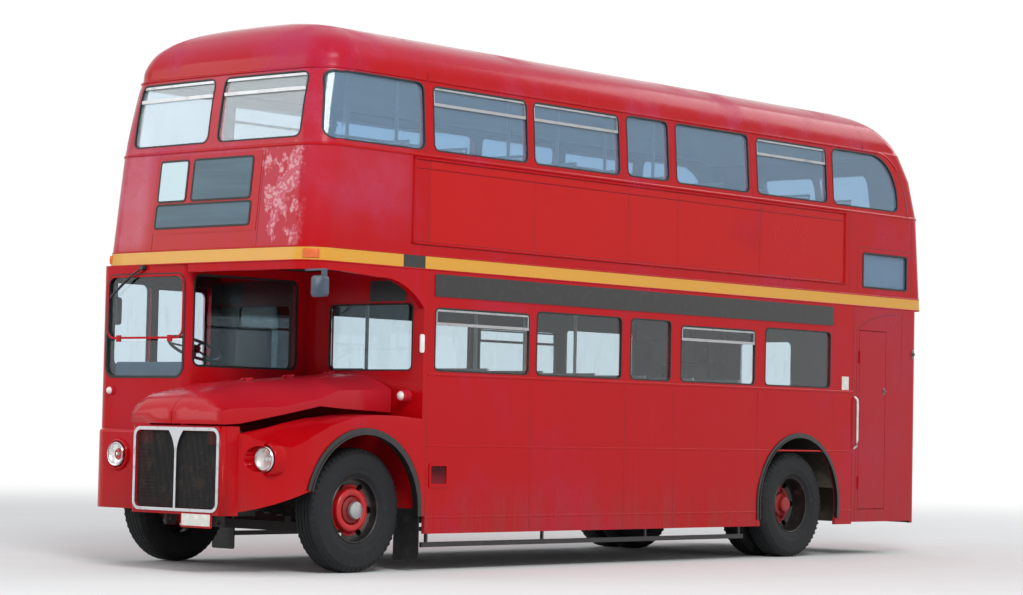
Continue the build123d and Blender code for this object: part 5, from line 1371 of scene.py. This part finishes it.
class BUS_OT_window_seals(Operator):
    """Rubbers round all windows, and the bright rails of the opening lights"""
    bl_idname = "bus.window_seals"
    bl_label = "Window rubbers and rails"

    def execute(self, context):
        width = context.scene.bus_trim.seal_width
        bm = bmesh.new()
        for s in (1, -1):
            for row in UPPER_LIGHTS:
                seal(bm, row, lambda u, v, d: self.flip(side_point(u, v, d), s), width)
            for row in LOWER_LIGHTS:
                seal(bm, row, lambda u, v, d: Vector((s * (HALF_W + d), u, v)), width)
        for row in FRONT_LIGHTS:
            seal(bm, row, end_point, width)
        for row in REAR_LIGHTS:
            seal(bm, row, lambda u, v, d: end_point(u, v, d, "rear"), width)
        seal(bm, (0.155, 1.092, 1.608, 2.142, 0.045), lambda u, v, d: Vector((u, BULKHEAD_Y - d, v)), width)
        seal(bm, (-1.105, -0.174, 1.512, 2.340, 0.090), lambda u, v, d: Vector((u, SCREEN_Y - d, v)), 0.020)
        seal(bm, (-0.638, 0.510, 1.606, 2.335, 0.060), lambda u, v, d: Vector((CAB_WALL_X + d, u, v)), 0.018)
        seal(bm, (-0.560, -0.170, 1.606, 2.300, 0.060), lambda u, v, d: Vector((-HALF_W - d, u, v)), 0.018)
        seal(bm, (6.876, 7.650, 2.604, 2.936, 0.020), side_point, 0.018, 0.004)
        piece("window_rubbers", bm, "seal_rubber")
        bm = bmesh.new()
        for s in (1, -1):
            for i, z in UPPER_BARS.items():
                y0, y1, _, top = UPPER_LIGHTS[i][:4]
                self.rails(bm, s, y0, y1, z, top, skin_x)
            for i, z in LOWER_BARS.items():
                y0, y1, _, top = LOWER_LIGHTS[i][:4]
                self.rails(bm, s, y0, y1, z, top, lambda z: HALF_W + 0.004)
        for x0, x1, _, z1, _ in FRONT_LIGHTS:
            for z, h in ((3.775, 0.014), (z1 - 0.022, 0.010)):
                rings = []
                for k in range(11):
                    x = x0 + 0.012 + (x1 - x0 - 0.024) * k / 10
                    a, b = end_point(x, z, -0.014), end_point(x, z, -0.002)
                    rings.append([(x, a.y, z - h), (x, b.y, z - h), (x, b.y, z + h), (x, a.y, z + h)])
                loft_rings(bm, rings)
        piece("opening_light_rails", bm, "alloy")
        return {"FINISHED"}

    @staticmethod
    def flip(p, s):
        return Vector((s * p.x, p.y, p.z))

    @staticmethod
    def rails(bm, s, y0, y1, z, top, x_of):
        """Bright frame of one opening light: two rails along it and two ends."""
        for at, h in ((z, 0.012), (top - 0.018, 0.008)):
            x = x_of(at)
            outline = box_points(y0 + 0.008, y1 - 0.008, at - h, at + h)
            slab(bm, outline, "yz", s * (x - 0.0155), s * (x - 0.002))
        for y in (y0 + 0.016, y1 - 0.016):
            a, b = x_of(z), x_of(top)
            loft_rings(bm, [[(s * (x - 0.0155), y - 0.006, w), (s * (x - 0.003), y - 0.006, w),
                             (s * (x - 0.003), y + 0.006, w), (s * (x - 0.0155), y + 0.006, w)]
                            for x, w in ((a, z), (b, top - 0.018))])


# middles of the wheel arches: along, height
FRONT_ARCH = (-0.030, 0.486)
REAR_ARCH = (WHEELBASE, 0.495)


class BUS_OT_arches(Operator):
    """Black trims round the wheel arches, and the flaps behind the front wheels"""
    bl_idname = "bus.arches"
    bl_label = "Arch trims and flaps"

    def execute(self, context):
        bm = bmesh.new()
        sector(bm, FRONT_ARCH, 0.602, 0.650, 165, -4, 1.190, 1.231, legs=(None, 0.44))
        sector(bm, FRONT_ARCH, 0.598, 0.610, 165, -4, 1.180, 1.238, legs=(None, 0.44))
        for s in (1, -1):
            x0, x1 = s * 1.213, s * 1.229
            sector(bm, REAR_ARCH, 0.632, 0.672, 188, -8, x0, x1, legs=(0.36, 0.36))
            sector(bm, REAR_ARCH, 0.628, 0.637, 188, -8, s * 1.200, s * 1.236, legs=(0.36, 0.36))
        sector(bm, (0.0, 0.490), 0.568, 0.604, 180, 0, -1.229, -1.213)
        piece("arch_trims", bm, "black_paint")
        bm = bmesh.new()
        for x0, x1 in ((0.930, 1.205), (-1.205, -0.930)):
            slab(bm, rounded(x0, x1, 0.085, 0.480, 0.02), "xz", 0.612, 0.620)
            slab(bm, box_points(x0, x1, 0.470, 0.500), "xz", 0.606, 0.626)
        piece("mudflaps", bm, "seal_rubber")
        return {"FINISHED"}


# half a tyre's section from its middle to its foot: across, radius
TYRE_HALF = [
    (0.000, 0.4895), (0.014, 0.4895), (0.0145, 0.4810), (0.0215, 0.4810), (0.022, 0.4895), (0.048, 0.4890),
    (0.0485, 0.4805), (0.0555, 0.4805), (0.056, 0.4885), (0.078, 0.4865), (0.088, 0.4800), (0.098, 0.4650),
    (0.1085, 0.4450), (0.1115, 0.4430), (0.1120, 0.4400), (0.1165, 0.4100), (0.1195, 0.3800),
    (0.1195, 0.3650), (0.1175, 0.3450), (0.1180, 0.3430), (0.1165, 0.3400), (0.1120, 0.3130),
    (0.1060, 0.2960), (0.1065, 0.2920), (0.0960, 0.2790), (0.0840, 0.2625),
]
# middle of a shoulder block: across from the tyre's middle, radius
SHOULDER = (0.0905, 0.4755)
# wheel studs: number, radius of their circle
STUDS = 10
STUD_CIRCLE = 0.1425


def tyre_mesh(bm, x, y):
    """Ribbed tyre: tread grooves, rounded shoulders and ringed side walls."""
    profile = [(-a, r) for a, r in reversed(TYRE_HALF[1:])] + TYRE_HALF
    turned(bm, profile, (x, y, WHEEL_Z), steps=72)


class BUS_OT_tyres(Operator):
    """Tyres with ribbed tread and shoulder blocks"""
    bl_idname = "bus.tyres"
    bl_label = "Tyres"

    def execute(self, context):
        blocks = context.scene.bus_wheels.blocks
        for name, body, spots, y in (
                ("tyre_front_nearside", "wheel_front_nearside", (1.005,), 0.0),
                ("tyre_front_offside", "wheel_front_offside", (-1.005,), 0.0),
                ("tyres_rear_nearside", "wheels_rear_nearside", (1.045, 0.755), WHEELBASE),
                ("tyres_rear_offside", "wheels_rear_offside", (-1.045, -0.755), WHEELBASE)):
            bm = bmesh.new()
            places = []
            for x in spots:
                tyre_mesh(bm, x, y)
                for s in (1, -1):
                    for i in range(blocks):
                        a = 2 * math.pi * (i + 0.5 * (s > 0)) / blocks
                        ray = Vector((0, math.cos(a), math.sin(a)))
                        lean = (ray * 0.86 + Vector((s, 0, 0)) * 0.51).normalized()
                        spot = Vector((x + s * SHOULDER[0], y, WHEEL_Z)) + ray * SHOULDER[1]
                        places.append((spot, lean, Vector((0, -math.sin(a), math.cos(a)))))
            piece(name + "_casing", bm, "tyre_rubber", body, angle=32, replaces=(name,))
            unit = bmesh.new()
            slab(unit, box_points(-0.018, 0.018, -0.008, 0.008), "xy", -0.006, 0.0045, bevel=0.0025)
            scatter(name + "_blocks", places, unit, "tyre_rubber", body)
        return {"FINISHED"}


class BUS_OT_wheel_nuts(Operator):
    """Hexagon nuts on the wheel studs, and the hub caps and red guard rings of the front wheels"""
    bl_idname = "bus.wheel_nuts"
    bl_label = "Wheel nuts and hub caps"

    def execute(self, context):
        for body, x, y in (("wheel_front_nearside", 1.015, 0.0), ("wheel_front_offside", -1.015, 0.0),
                           ("wheels_rear_nearside", 0.965, WHEELBASE),
                           ("wheels_rear_offside", -0.965, WHEELBASE)):
            s = 1 if x > 0 else -1
            spots = []
            for i in range(STUDS):
                a = 2 * math.pi * (i + 0.5) / STUDS
                ray = Vector((0, math.cos(a), math.sin(a)))
                spots.append((Vector((x, y, WHEEL_Z)) + ray * STUD_CIRCLE, Vector((s, 0, 0)), ray))
            unit = bmesh.new()
            for r0, r1, w0, w1, n in ((0.0215, 0.0215, -0.002, 0.004, 16), (0.0195, 0.0185, 0.004, 0.021, 6)):
                rings = [[(r * math.cos(2 * math.pi * k / n), r * math.sin(2 * math.pi * k / n), w)
                          for k in range(n)] for r, w in ((r0, w0), (r0, w1 - 0.002), (r1 * 0.9, w1))]
                loft_rings(unit, rings)
            scatter("nuts_" + body, spots, unit, "nut_red", body, jitter=0.5)
        for body, x in (("wheel_front_nearside", 1.110), ("wheel_front_offside", -1.110)):
            s = 1 if x > 0 else -1
            bm = bmesh.new()
            turned(bm, [(s * -0.012, 0.0), (s * -0.012, 0.066), (s * -0.006, 0.070), (s * 0.002, 0.066),
                        (s * 0.008, 0.050), (s * 0.014, 0.034), (s * 0.017, 0.016), (s * 0.018, 0.0)],
                   (x, 0.0, WHEEL_Z), steps=40, closed=False)
            piece("hub_cap_" + body, bm, "alloy", body, angle=30)
            bm = bmesh.new()
            x = s * 1.040
            ring = ((-0.020, 0.166), (0.004, 0.172), (0.018, 0.168), (0.025, 0.156), (0.027, 0.140),
                    (0.024, 0.124), (0.014, 0.112), (-0.020, 0.108), (-0.022, 0.137))
            turned(bm, [(s * w, r) for w, r in ring], (x, 0.0, WHEEL_Z), steps=56)
            piece("guard_ring_" + body, bm, "nut_red", body, angle=50)
        return {"FINISHED"}


class BUS_OT_headlamps(Operator):
    """Headlamps with bright rims, reflectors, domed lenses and red housings"""
    bl_idname = "bus.headlamps"
    bl_label = "Headlamps"

    def execute(self, context):
        rim, bowl, lens = bmesh.new(), bmesh.new(), bmesh.new()
        for x, y, _ in LAMPS:
            c = (x, y, LAMP_Z)
            turned(rim, [(0.004, 0.097), (-0.012, 0.099), (-0.022, 0.101), (-0.034, 0.099), (-0.042, 0.092),
                         (-0.040, 0.084), (-0.032, 0.083), (-0.016, 0.085), (0.004, 0.085)], c, "y", 48)
            turned(bowl, [(-0.030, 0.084), (-0.016, 0.078), (-0.004, 0.062), (0.002, 0.040), (0.004, 0.014),
                          (-0.018, 0.012), (-0.022, 0.0001)], c, "y", 40, closed=False)
            turned(lens, [(-0.035, 0.085), (-0.044, 0.070), (-0.050, 0.048), (-0.054, 0.024),
                          (-0.055, 0.0001), (-0.050, 0.0001), (-0.049, 0.024), (-0.045, 0.048),
                          (-0.039, 0.070), (-0.031, 0.085)], c, "y", 40)
        piece("headlamp_rims", rim, "chrome")
        piece("headlamp_bowls", bowl, "bulb_reflector", replaces=("headlamps",))
        piece("headlamp_lenses", lens, "lamp_glass")
        shell = bmesh.new()
        for x, y, back in LAMPS:
            turned(shell, [(back, 0.1025), (-0.014, 0.1025), (-0.024, 0.110), (-0.022, 0.122),
                           (-0.004, 0.133), (back, 0.136)], (x, y, LAMP_Z), "y", 48)
        loft_rings(shell, self.liner())
        piece("headlamp_housings", shell, "nose_red")
        return {"FINISHED"}

    @staticmethod
    def liner():
        """Red sheet from the edge of the nearside wing's lamp hole to its lamp."""
        x, y, _ = LAMPS[0]
        edge = {}
        for v in bpy.data.objects["wing_nearside_pressing"].data.vertices:
            dx, dz = v.co.x - WING_HOLE_X, v.co.z - LAMP_Z
            if abs(math.hypot(dx, dz) - WING_HOLE_RADIUS) < 0.001 and dx < 0.035:
                a = round(math.degrees(math.atan2(dz, dx)) % 360)
                spot = v.co + Vector((0, AXLE_Y, 0))
                if a not in edge or spot.y < edge[a].y:
                    edge[a] = spot
        rings = []
        for a, lip in sorted(edge.items()):
            ray = Vector((math.cos(math.radians(a)), 0, math.sin(math.radians(a))))
            inner = Vector((x, y - 0.020, LAMP_Z)) + ray * 0.104
            lip = lip + Vector((0, 0.002, 0))
            mid = lip.lerp(inner, 0.5) + Vector((0, 0.006, 0))
            rings.append([lip, mid, inner, inner + Vector((0, 0.004, 0)), mid + Vector((0, 0.004, 0)),
                          lip + Vector((0, 0.004, 0))])
        return rings


class BUS_OT_grille(Operator):
    """Wire mesh of the grille, its red brackets and the blank plate holder"""
    bl_idname = "bus.grille"
    bl_label = "Grille mesh and plates"

    def execute(self, context):
        unit = bmesh.new()
        slab(unit, box_points(-0.0022, 0.0022, -0.0022, 0.0022), "xy", 0.0, 0.585)
        spots = [(Vector((-0.066 + 0.0137 * i, -1.238, 0.500)), Vector((0, 0, 1)), Vector((0, 1, 0)))
                 for i in range(67)]
        scatter("grille_wires_upright", spots, unit, "chassis_black", BODY)
        unit = bmesh.new()
        slab(unit, box_points(-0.002, 0.002, -0.002, 0.002), "xy", 0.0, 0.905)
        spots = [(Vector((-0.066, -1.234, 0.506 + 0.0275 * i)), Vector((1, 0, 0)), Vector((0, 1, 0)))
                 for i in range(21)]
        scatter("grille_wires_across", spots, unit, "chassis_black", BODY)
        plate("plate_holder", rounded(0.455, 0.800, 0.352, 0.472, 0.008), "xz", -1.254, -1.244, 0.002,
              "nose_red")
        plate("blank_front_plate", rounded(0.470, 0.785, 0.367, 0.457, 0.004), "xz", -1.258, -1.252, 0.002,
              "notice_white")
        bm = bmesh.new()
        for x0, x1 in ((-0.068, 0.075), (0.700, 0.843)):
            slab(bm, rounded(x0, x1, 0.985, 1.086, 0.02), "xz", -1.226, -1.200, bevel=0.006)
        piece("grille_brackets", bm, "nose_red")
        return {"FINISHED"}


class BUS_OT_cab_front(Operator):
    """Frame of the opening windscreen, dash cowl, wiper, side lamps, mirrors, wall plate and indicators"""
    bl_idname = "bus.cab_front"
    bl_label = "Cab front"

    def execute(self, context):
        bm = bmesh.new()
        seal(bm, (-1.095, -0.184, 1.828, 2.330, 0.080), lambda u, v, d: Vector((u, SCREEN_Y - d, v)), 0.018,
             0.006, -0.004)
        for x in (-0.95, -0.33):
            slab(bm, rounded(x - 0.03, x + 0.03, 1.796, 1.850, 0.006), "xz", -0.716, -0.704, bevel=0.003)
        piece("windscreen_frame", bm, "cab_red")
        plate("dash_cowl", rounded(-1.065, -0.210, 1.470, 1.636, 0.030), "xz", -0.650, -0.520, 0.020,
              "dash_blue")
        bm = bmesh.new()
        tube(bm, [(-0.66, -0.724, 2.395), (-0.68, -0.740, 2.382), (-0.80, -0.736, 2.325),
                  (-0.93, -0.730, 2.245)], 0.008)
        tube(bm, [(-0.82, -0.728, 2.312), (-0.96, -0.724, 2.222), (-1.05, -0.722, 2.160)], 0.010)
        turned(bm, [(-0.030, 0.0001), (-0.030, 0.018), (-0.012, 0.024), (0.010, 0.026), (0.010, 0.0001)],
               (-0.66, -0.712, 2.395), "y", 20, closed=False)
        piece("wiper", bm, "black_plastic")
        glass, base = bmesh.new(), bmesh.new()
        for x, y, z, r in ((-1.030, -0.700, 1.400, 0.030), (1.050, 0.560, 1.400, 0.038)):
            turned(glass, [(-0.050, 0.0001), (-0.046, r * 0.5), (-0.036, r * 0.85), (-0.024, r), (-0.010, r),
                           (-0.010, 0.0001)], (x, y, z), "y", 24, closed=False)
            turned(base, [(-0.026, r), (-0.026, r + 0.006), (-0.016, r + 0.010), (0.000, r + 0.012),
                          (0.060, r + 0.014), (0.060, 0.0001)], (x, y, z), "y", 28, closed=False)
        slab(glass, rounded(0.566, 0.610, 1.746, 1.894, 0.010), "yz", 1.217, 1.233, bevel=0.005)
        piece("side_lamp_glass", glass, "lamp_white")
        piece("side_lamp_bases", base, "nose_red")
        bm = bmesh.new()
        slab(bm, rounded(1.258, 1.404, 2.126, 2.294, 0.034), "xz", -0.712, -0.698, bevel=0.010)
        slab(bm, rounded(-1.404, -1.258, 1.946, 2.184, 0.034), "xz", -0.472, -0.458, bevel=0.010)
        piece("mirror_backs", bm, "mirror_shell", angle=60)
        bm = bmesh.new()
        slab(bm, rounded(1.270, 1.392, 2.138, 2.282, 0.024), "xz", -0.6555, -0.6525, bevel=0.001)
        slab(bm, rounded(-1.392, -1.270, 1.958, 2.172, 0.024), "xz", -0.4155, -0.4125, bevel=0.001)
        piece("mirror_glasses", bm, "mirror_silver")
        plate("blank_wall_plate", rounded(0.610, 1.017, 2.164, 2.334, 0.020), "xz", 0.6135, 0.6085, 0.002,
              "black_paint")
        bm = bmesh.new()
        corner = Vector((1.0170, end_centre(1.219, -0.710, 0.035, 0.202, 1)[2], 0))
        section = ((0.200, 2.434), (0.219, 2.440), (0.223, 2.472), (0.219, 2.504), (0.200, 2.510))
        for s in (1, -1):
            rings = []
            for k in range(9):
                a = math.radians(26 + 34 * k / 8)
                ray = Vector((math.cos(a), -math.sin(a), 0))
                rings.append([Vector((s * p.x, p.y, z)) for r, z in section for p in [corner + ray * r]])
            loft_rings(bm, rings)
        piece("front_indicators", bm, "orange_lens")
        return {"FINISHED"}


def crowned(bm, low, high, r, crown, faces="z", shear=0.0):
    """Stuffed pad between two corners: rounded edges and a swelling towards the middle of one side."""
    low, high = Vector(low), Vector(high)
    mid = (low + high) / 2
    half = (high - low) / 2
    r = min(r, *(h * 0.98 for h in half))
    ticks = []
    for h in half:
        inner = h - r
        arcs = [inner + r * math.sin(math.radians(a)) for a in (30, 60)]
        middle = [-inner + 2 * inner * k / 6 for k in range(7)]
        ticks.append([-h] + [-v for v in reversed(arcs)] + middle + arcs + [h])

    def spot(p):
        core = Vector([max(-half[i] + r, min(half[i] - r, p[i])) for i in range(3)])
        away = p - core
        q = core + away.normalized() * r if away.length > 1e-9 else p
        flat = [min(abs(q[i] / half[i]), 1) for i in range(3)]
        axis = "xyz".index(faces[-1])
        sign = -1 if faces[0] == "-" else 1
        a, b = [i for i in range(3) if i != axis]
        lift = crown * (1 - flat[a] ** 2) * (1 - flat[b] ** 2)
        q[axis] += sign * lift if q[axis] * sign > 0 else -sign * lift * 0.3
        q = q + mid
        q.y += shear * (q.z - low.z)
        return q

    made = {}

    def vert(i, j, k):
        key = (i, j, k)
        if key not in made:
            made[key] = bm.verts.new(spot(Vector((ticks[0][i], ticks[1][j], ticks[2][k]))))
        return made[key]

    n = [len(t) - 1 for t in ticks]
    for i in range(n[0]):
        for j in range(n[1]):
            for k in (0, n[2]):
                bm.faces.new((vert(i, j, k), vert(i + 1, j, k), vert(i + 1, j + 1, k), vert(i, j + 1, k)))
    for i in range(n[0]):
        for k in range(n[2]):
            for j in (0, n[1]):
                bm.faces.new((vert(i, j, k), vert(i + 1, j, k), vert(i + 1, j, k + 1), vert(i, j, k + 1)))
    for j in range(n[1]):
        for k in range(n[2]):
            for i in (0, n[0]):
                bm.faces.new((vert(i, j, k), vert(i, j + 1, k), vert(i, j + 1, k + 1), vert(i, j, k + 1)))


# saloon seats: distance from row to row, tops over the floor, how far a back leans for each metre of height
SEAT_PITCH = 0.7
CUSHION_TOP = 0.45
BACK_TOP = 0.912
BACK_LEAN = 0.13


class BUS_OT_seats(Operator):
    """Stuffed seat cushions and backs of both decks, with piping, and the driver's seat"""
    bl_idname = "bus.seats"
    bl_label = "Seats"

    def execute(self, context):
        crown = context.scene.bus_seats.crown
        for name, first, count, floor, limit in (("seats_lower", 0.950, 6, 0.700, 99),
                                                 ("seats_upper", -0.060, 10, 2.505, 5.500)):
            bm, cord = bmesh.new(), bmesh.new()
            for i in range(count):
                y = first + SEAT_PITCH * i
                for s in (1, -1):
                    if s < 0 and y > limit:
                        continue
                    x0, x1 = sorted((s * 0.289, s * 1.139))
                    top = floor + CUSHION_TOP
                    crowned(bm, (x0, y, top - 0.119), (x1, y + 0.42, top - 0.016), 0.032, crown)
                    foot = y + 0.41 + BACK_LEAN * 0.455
                    crowned(bm, (x0, foot - 0.066, top + 0.006), (x1, foot - 0.002, floor + BACK_TOP), 0.028,
                            crown * 0.7, "-y", shear=BACK_LEAN)
                    edge = [(x, y + 0.006, top - 0.030) for x in (x0 + 0.012, x1 - 0.012)]
                    tube(cord, edge, 0.005, 6)
            if name == "seats_lower":
                for s in (1, -1):
                    for i in range(3):
                        y0 = 5.217 + 0.415 * i
                        x0, x1 = sorted((s * 0.739, s * 1.186))
                        crowned(bm, (x0, y0, 1.156), (x1, y0 + 0.405, 1.232), 0.028, crown * 0.6)
                        x0, x1 = sorted((s * 1.116, s * 1.187))
                        crowned(bm, (x0, y0, 1.246), (x1, y0 + 0.405, 1.586), 0.024, crown * 0.5,
                                "-x" if s > 0 else "x")
            pads = piece(name + "_pads", bm, "moquette", angle=60,
                         replaces=(name,))
            piece(name + "_piping", cord, "seat_hide")
        bm = bmesh.new()
        crowned(bm, (-0.890, 0.110, 1.402), (-0.450, 0.498, 1.488), 0.034, crown * 0.8)
        crowned(bm, (-0.870, 0.502, 1.512), (-0.470, 0.568, 1.956), 0.028, crown * 0.6, "-y")
        pads = piece("driver_seat_pads", bm, "seat_hide", angle=60,
                     replaces=("driver_seat",))
        return {"FINISHED"}


class BUS_OT_entrance(Operator):
    """Joints, grab handle, bracket and lock of the entrance, the blank notice and the air intake"""
    bl_idname = "bus.entrance"
    bl_label = "Entrance and intake"

    def execute(self, context):
        bm = bmesh.new()
        line = [(6.803, 2.186), (6.90, 2.246), (7.00, 2.287), (7.114, 2.316), (7.25, 2.338), (7.40, 2.352),
                (7.542, 2.361)]
        tube(bm, [(1.2192, y, z) for y, z in line], 0.003, 6)
        upright_strip(bm, 1, 7.580, 0.004, 1.730, 2.350, 0.0015)
        upright_strip(bm, 1, 6.790, 0.004, 0.330, 2.186, 0.0015)
        piece("entrance_joints", bm, "seam_dark")
        bm = bmesh.new()
        tube(bm, [(1.216, 6.765, 1.53), (1.250, 6.765, 1.505), (1.254, 6.765, 1.46), (1.254, 6.765, 1.10),
                  (1.250, 6.765, 1.055), (1.216, 6.765, 1.03)], 0.011, 12)
        piece("entrance_grab_handle", bm, "white_enamel")
        bm = bmesh.new()
        slab(bm, rounded(7.762, 7.792, 1.930, 2.020, 0.006), "yz", 1.216, 1.226, bevel=0.003)
        slab(bm, rounded(7.768, 7.786, 1.962, 1.988, 0.004), "yz", 1.224, 1.246, bevel=0.003)
        piece("entrance_bracket", bm, "worn_steel")
        bm = bmesh.new()
        slab(bm, rounded(7.258, 7.288, 1.560, 1.626, 0.005), "yz", 1.218, 1.223, bevel=0.002)
        turned(bm, [(0.000, 0.0001), (0.000, 0.010), (0.014, 0.010), (0.018, 0.006), (0.018, 0.0001)],
               (1.222, 7.273, 1.593), steps=20, closed=False)
        piece("entrance_lock", bm, "worn_steel", "platform_door_body")
        plate("blank_notice", rounded(6.540, 6.655, 1.592, 1.722, 0.004), "yz", 1.218, 1.2215, 0.001,
              "notice_white")
        bm = bmesh.new()
        seal(bm, (0.715, 0.918, 0.676, 0.852, 0.012), lambda u, v, d: Vector((HALF_W + d, u, v)), 0.020,
             0.008, -0.001)
        slab(bm, rounded(0.722, 0.912, 0.684, 0.700, 0.004), "yz", 1.219, 1.2265, bevel=0.003)
        piece("intake_frame", bm, "body_red")
        # the intake tray's darkening towards its top is painted shade
        plate("intake_tray", box_points(0.720, 0.913, 0.681, 0.847), "yz", 1.2185, 1.2205, 0.0,
              "intake_red")
        return {"FINISHED"}


class BUS_OT_rear(Operator):
    """Rear lamps and the blank rear plate"""
    bl_idname = "bus.rear"
    bl_label = "Rear fittings"

    def execute(self, context):
        lens, base = bmesh.new(), bmesh.new()
        for x in (-1.00, 1.00):
            for z, r in ((1.120, 0.045), (0.960, 0.038)):
                y = 7.900 - 0.060 * (x / 1.1) ** 2
                turned(base, [(-0.020, 0.0001), (-0.020, r + 0.012), (0.010, r + 0.010), (0.016, r),
                              (0.016, 0.0001)], (x, y, z), "y", 28, closed=False)
                turned(lens, [(0.010, 0.0001), (0.010, r), (0.026, r * 0.92), (0.034, r * 0.6),
                              (0.037, 0.0001)], (x, y, z), "y", 28, closed=False)
        piece("rear_lamp_lenses", lens, "red_lens")
        piece("rear_lamp_bases", base, "black_paint")
        plate("blank_rear_plate", rounded(-0.260, 0.260, 1.020, 1.140, 0.006), "xz", 7.895, 7.908, 0.002,
              "notice_white")
        return {"FINISHED"}


SCREW_PITCH = 0.18
# the rear wheel arch: no screws between these places
ARCH_START = 5.12
ARCH_END = 6.56


class BUS_OT_screws(Operator):
    """Domed screw heads along the mouldings and the display frames"""
    bl_idname = "bus.screws"
    bl_label = "Screws"

    def execute(self, context):
        r = context.scene.bus_trim.screw / 2
        unit = bmesh.new()
        rings = [[(q * math.cos(math.pi * k / 4), q * math.sin(math.pi * k / 4), w) for k in range(8)]
                 for q, w in ((r, -0.001), (r, 0.0006), (r * 0.7, 0.0018), (r * 0.2, 0.0024))]
        loft_rings(unit, rings)
        spots = []
        for s in (1, -1):
            out = Vector((s, 0, 0))
            for z, x in ((1.575, 1.225), (DISPLAY_FRAME[2], 1.229), (DISPLAY_FRAME[3], 1.229)):
                y = 0.70 if s > 0 or z > 2.4 else 1.24
                while y < 6.55:
                    spots.append((Vector((s * x, y, z)), out, Vector((0, 0, 1))))
                    y += SCREW_PITCH
            for z in (0.46, 0.965, 1.04):
                y = 0.72
                while y < 6.70:
                    if not ARCH_START < y < ARCH_END:
                        spots.append((Vector((s * HALF_W, y, z)), out, Vector((0, 0, 1))))
                    y += SCREW_PITCH
        scatter("panel_screws", spots, unit, "body_red", BODY, jitter=1.5)
        return {"FINISHED"}


class BUS_PT_panel(Panel):
    bl_label = "Bus"
    bl_idname = "BUS_PT_panel"
    bl_space_type = "VIEW_3D"
    bl_region_type = "UI"
    bl_category = "Bus"

    def draw(self, context):
        for label, group in (("Paint", context.scene.bus_paint), ("Trim", context.scene.bus_trim),
                             ("Wheels", context.scene.bus_wheels), ("Seats", context.scene.bus_seats)):
            box = self.layout.box()
            box.label(text=label)
            for key in group.__annotations__:
                box.prop(group, key)
        for operator in OPERATORS:
            self.layout.operator(operator.bl_idname)


GROUPS = {"bus_paint": BusPaint, "bus_trim": BusTrim, "bus_wheels": BusWheels, "bus_seats": BusSeats}
OPERATORS = [
    BUS_OT_stage, BUS_OT_finishes, BUS_OT_pressings, BUS_OT_belts, BUS_OT_seams, BUS_OT_boards,
    BUS_OT_front_blinds, BUS_OT_window_seals, BUS_OT_arches, BUS_OT_tyres, BUS_OT_wheel_nuts,
    BUS_OT_headlamps, BUS_OT_grille, BUS_OT_cab_front, BUS_OT_seats, BUS_OT_entrance, BUS_OT_rear,
    BUS_OT_screws,
]


def register():
    for kind in [*GROUPS.values(), *OPERATORS, BUS_PT_panel]:
        bpy.utils.register_class(kind)
    for key, kind in GROUPS.items():
        setattr(bpy.types.Scene, key, PointerProperty(type=kind))


def unregister():
    for key in GROUPS:
        delattr(bpy.types.Scene, key)
    for kind in reversed([*GROUPS.values(), *OPERATORS, BUS_PT_panel]):
        bpy.utils.unregister_class(kind)


def main():
    register()
    for operator in OPERATORS:
        group, name = operator.bl_idname.split(".")
        getattr(getattr(bpy.ops, group), name)()
    bpy.context.view_layer.update()


if __name__ == "__main__":
    main()
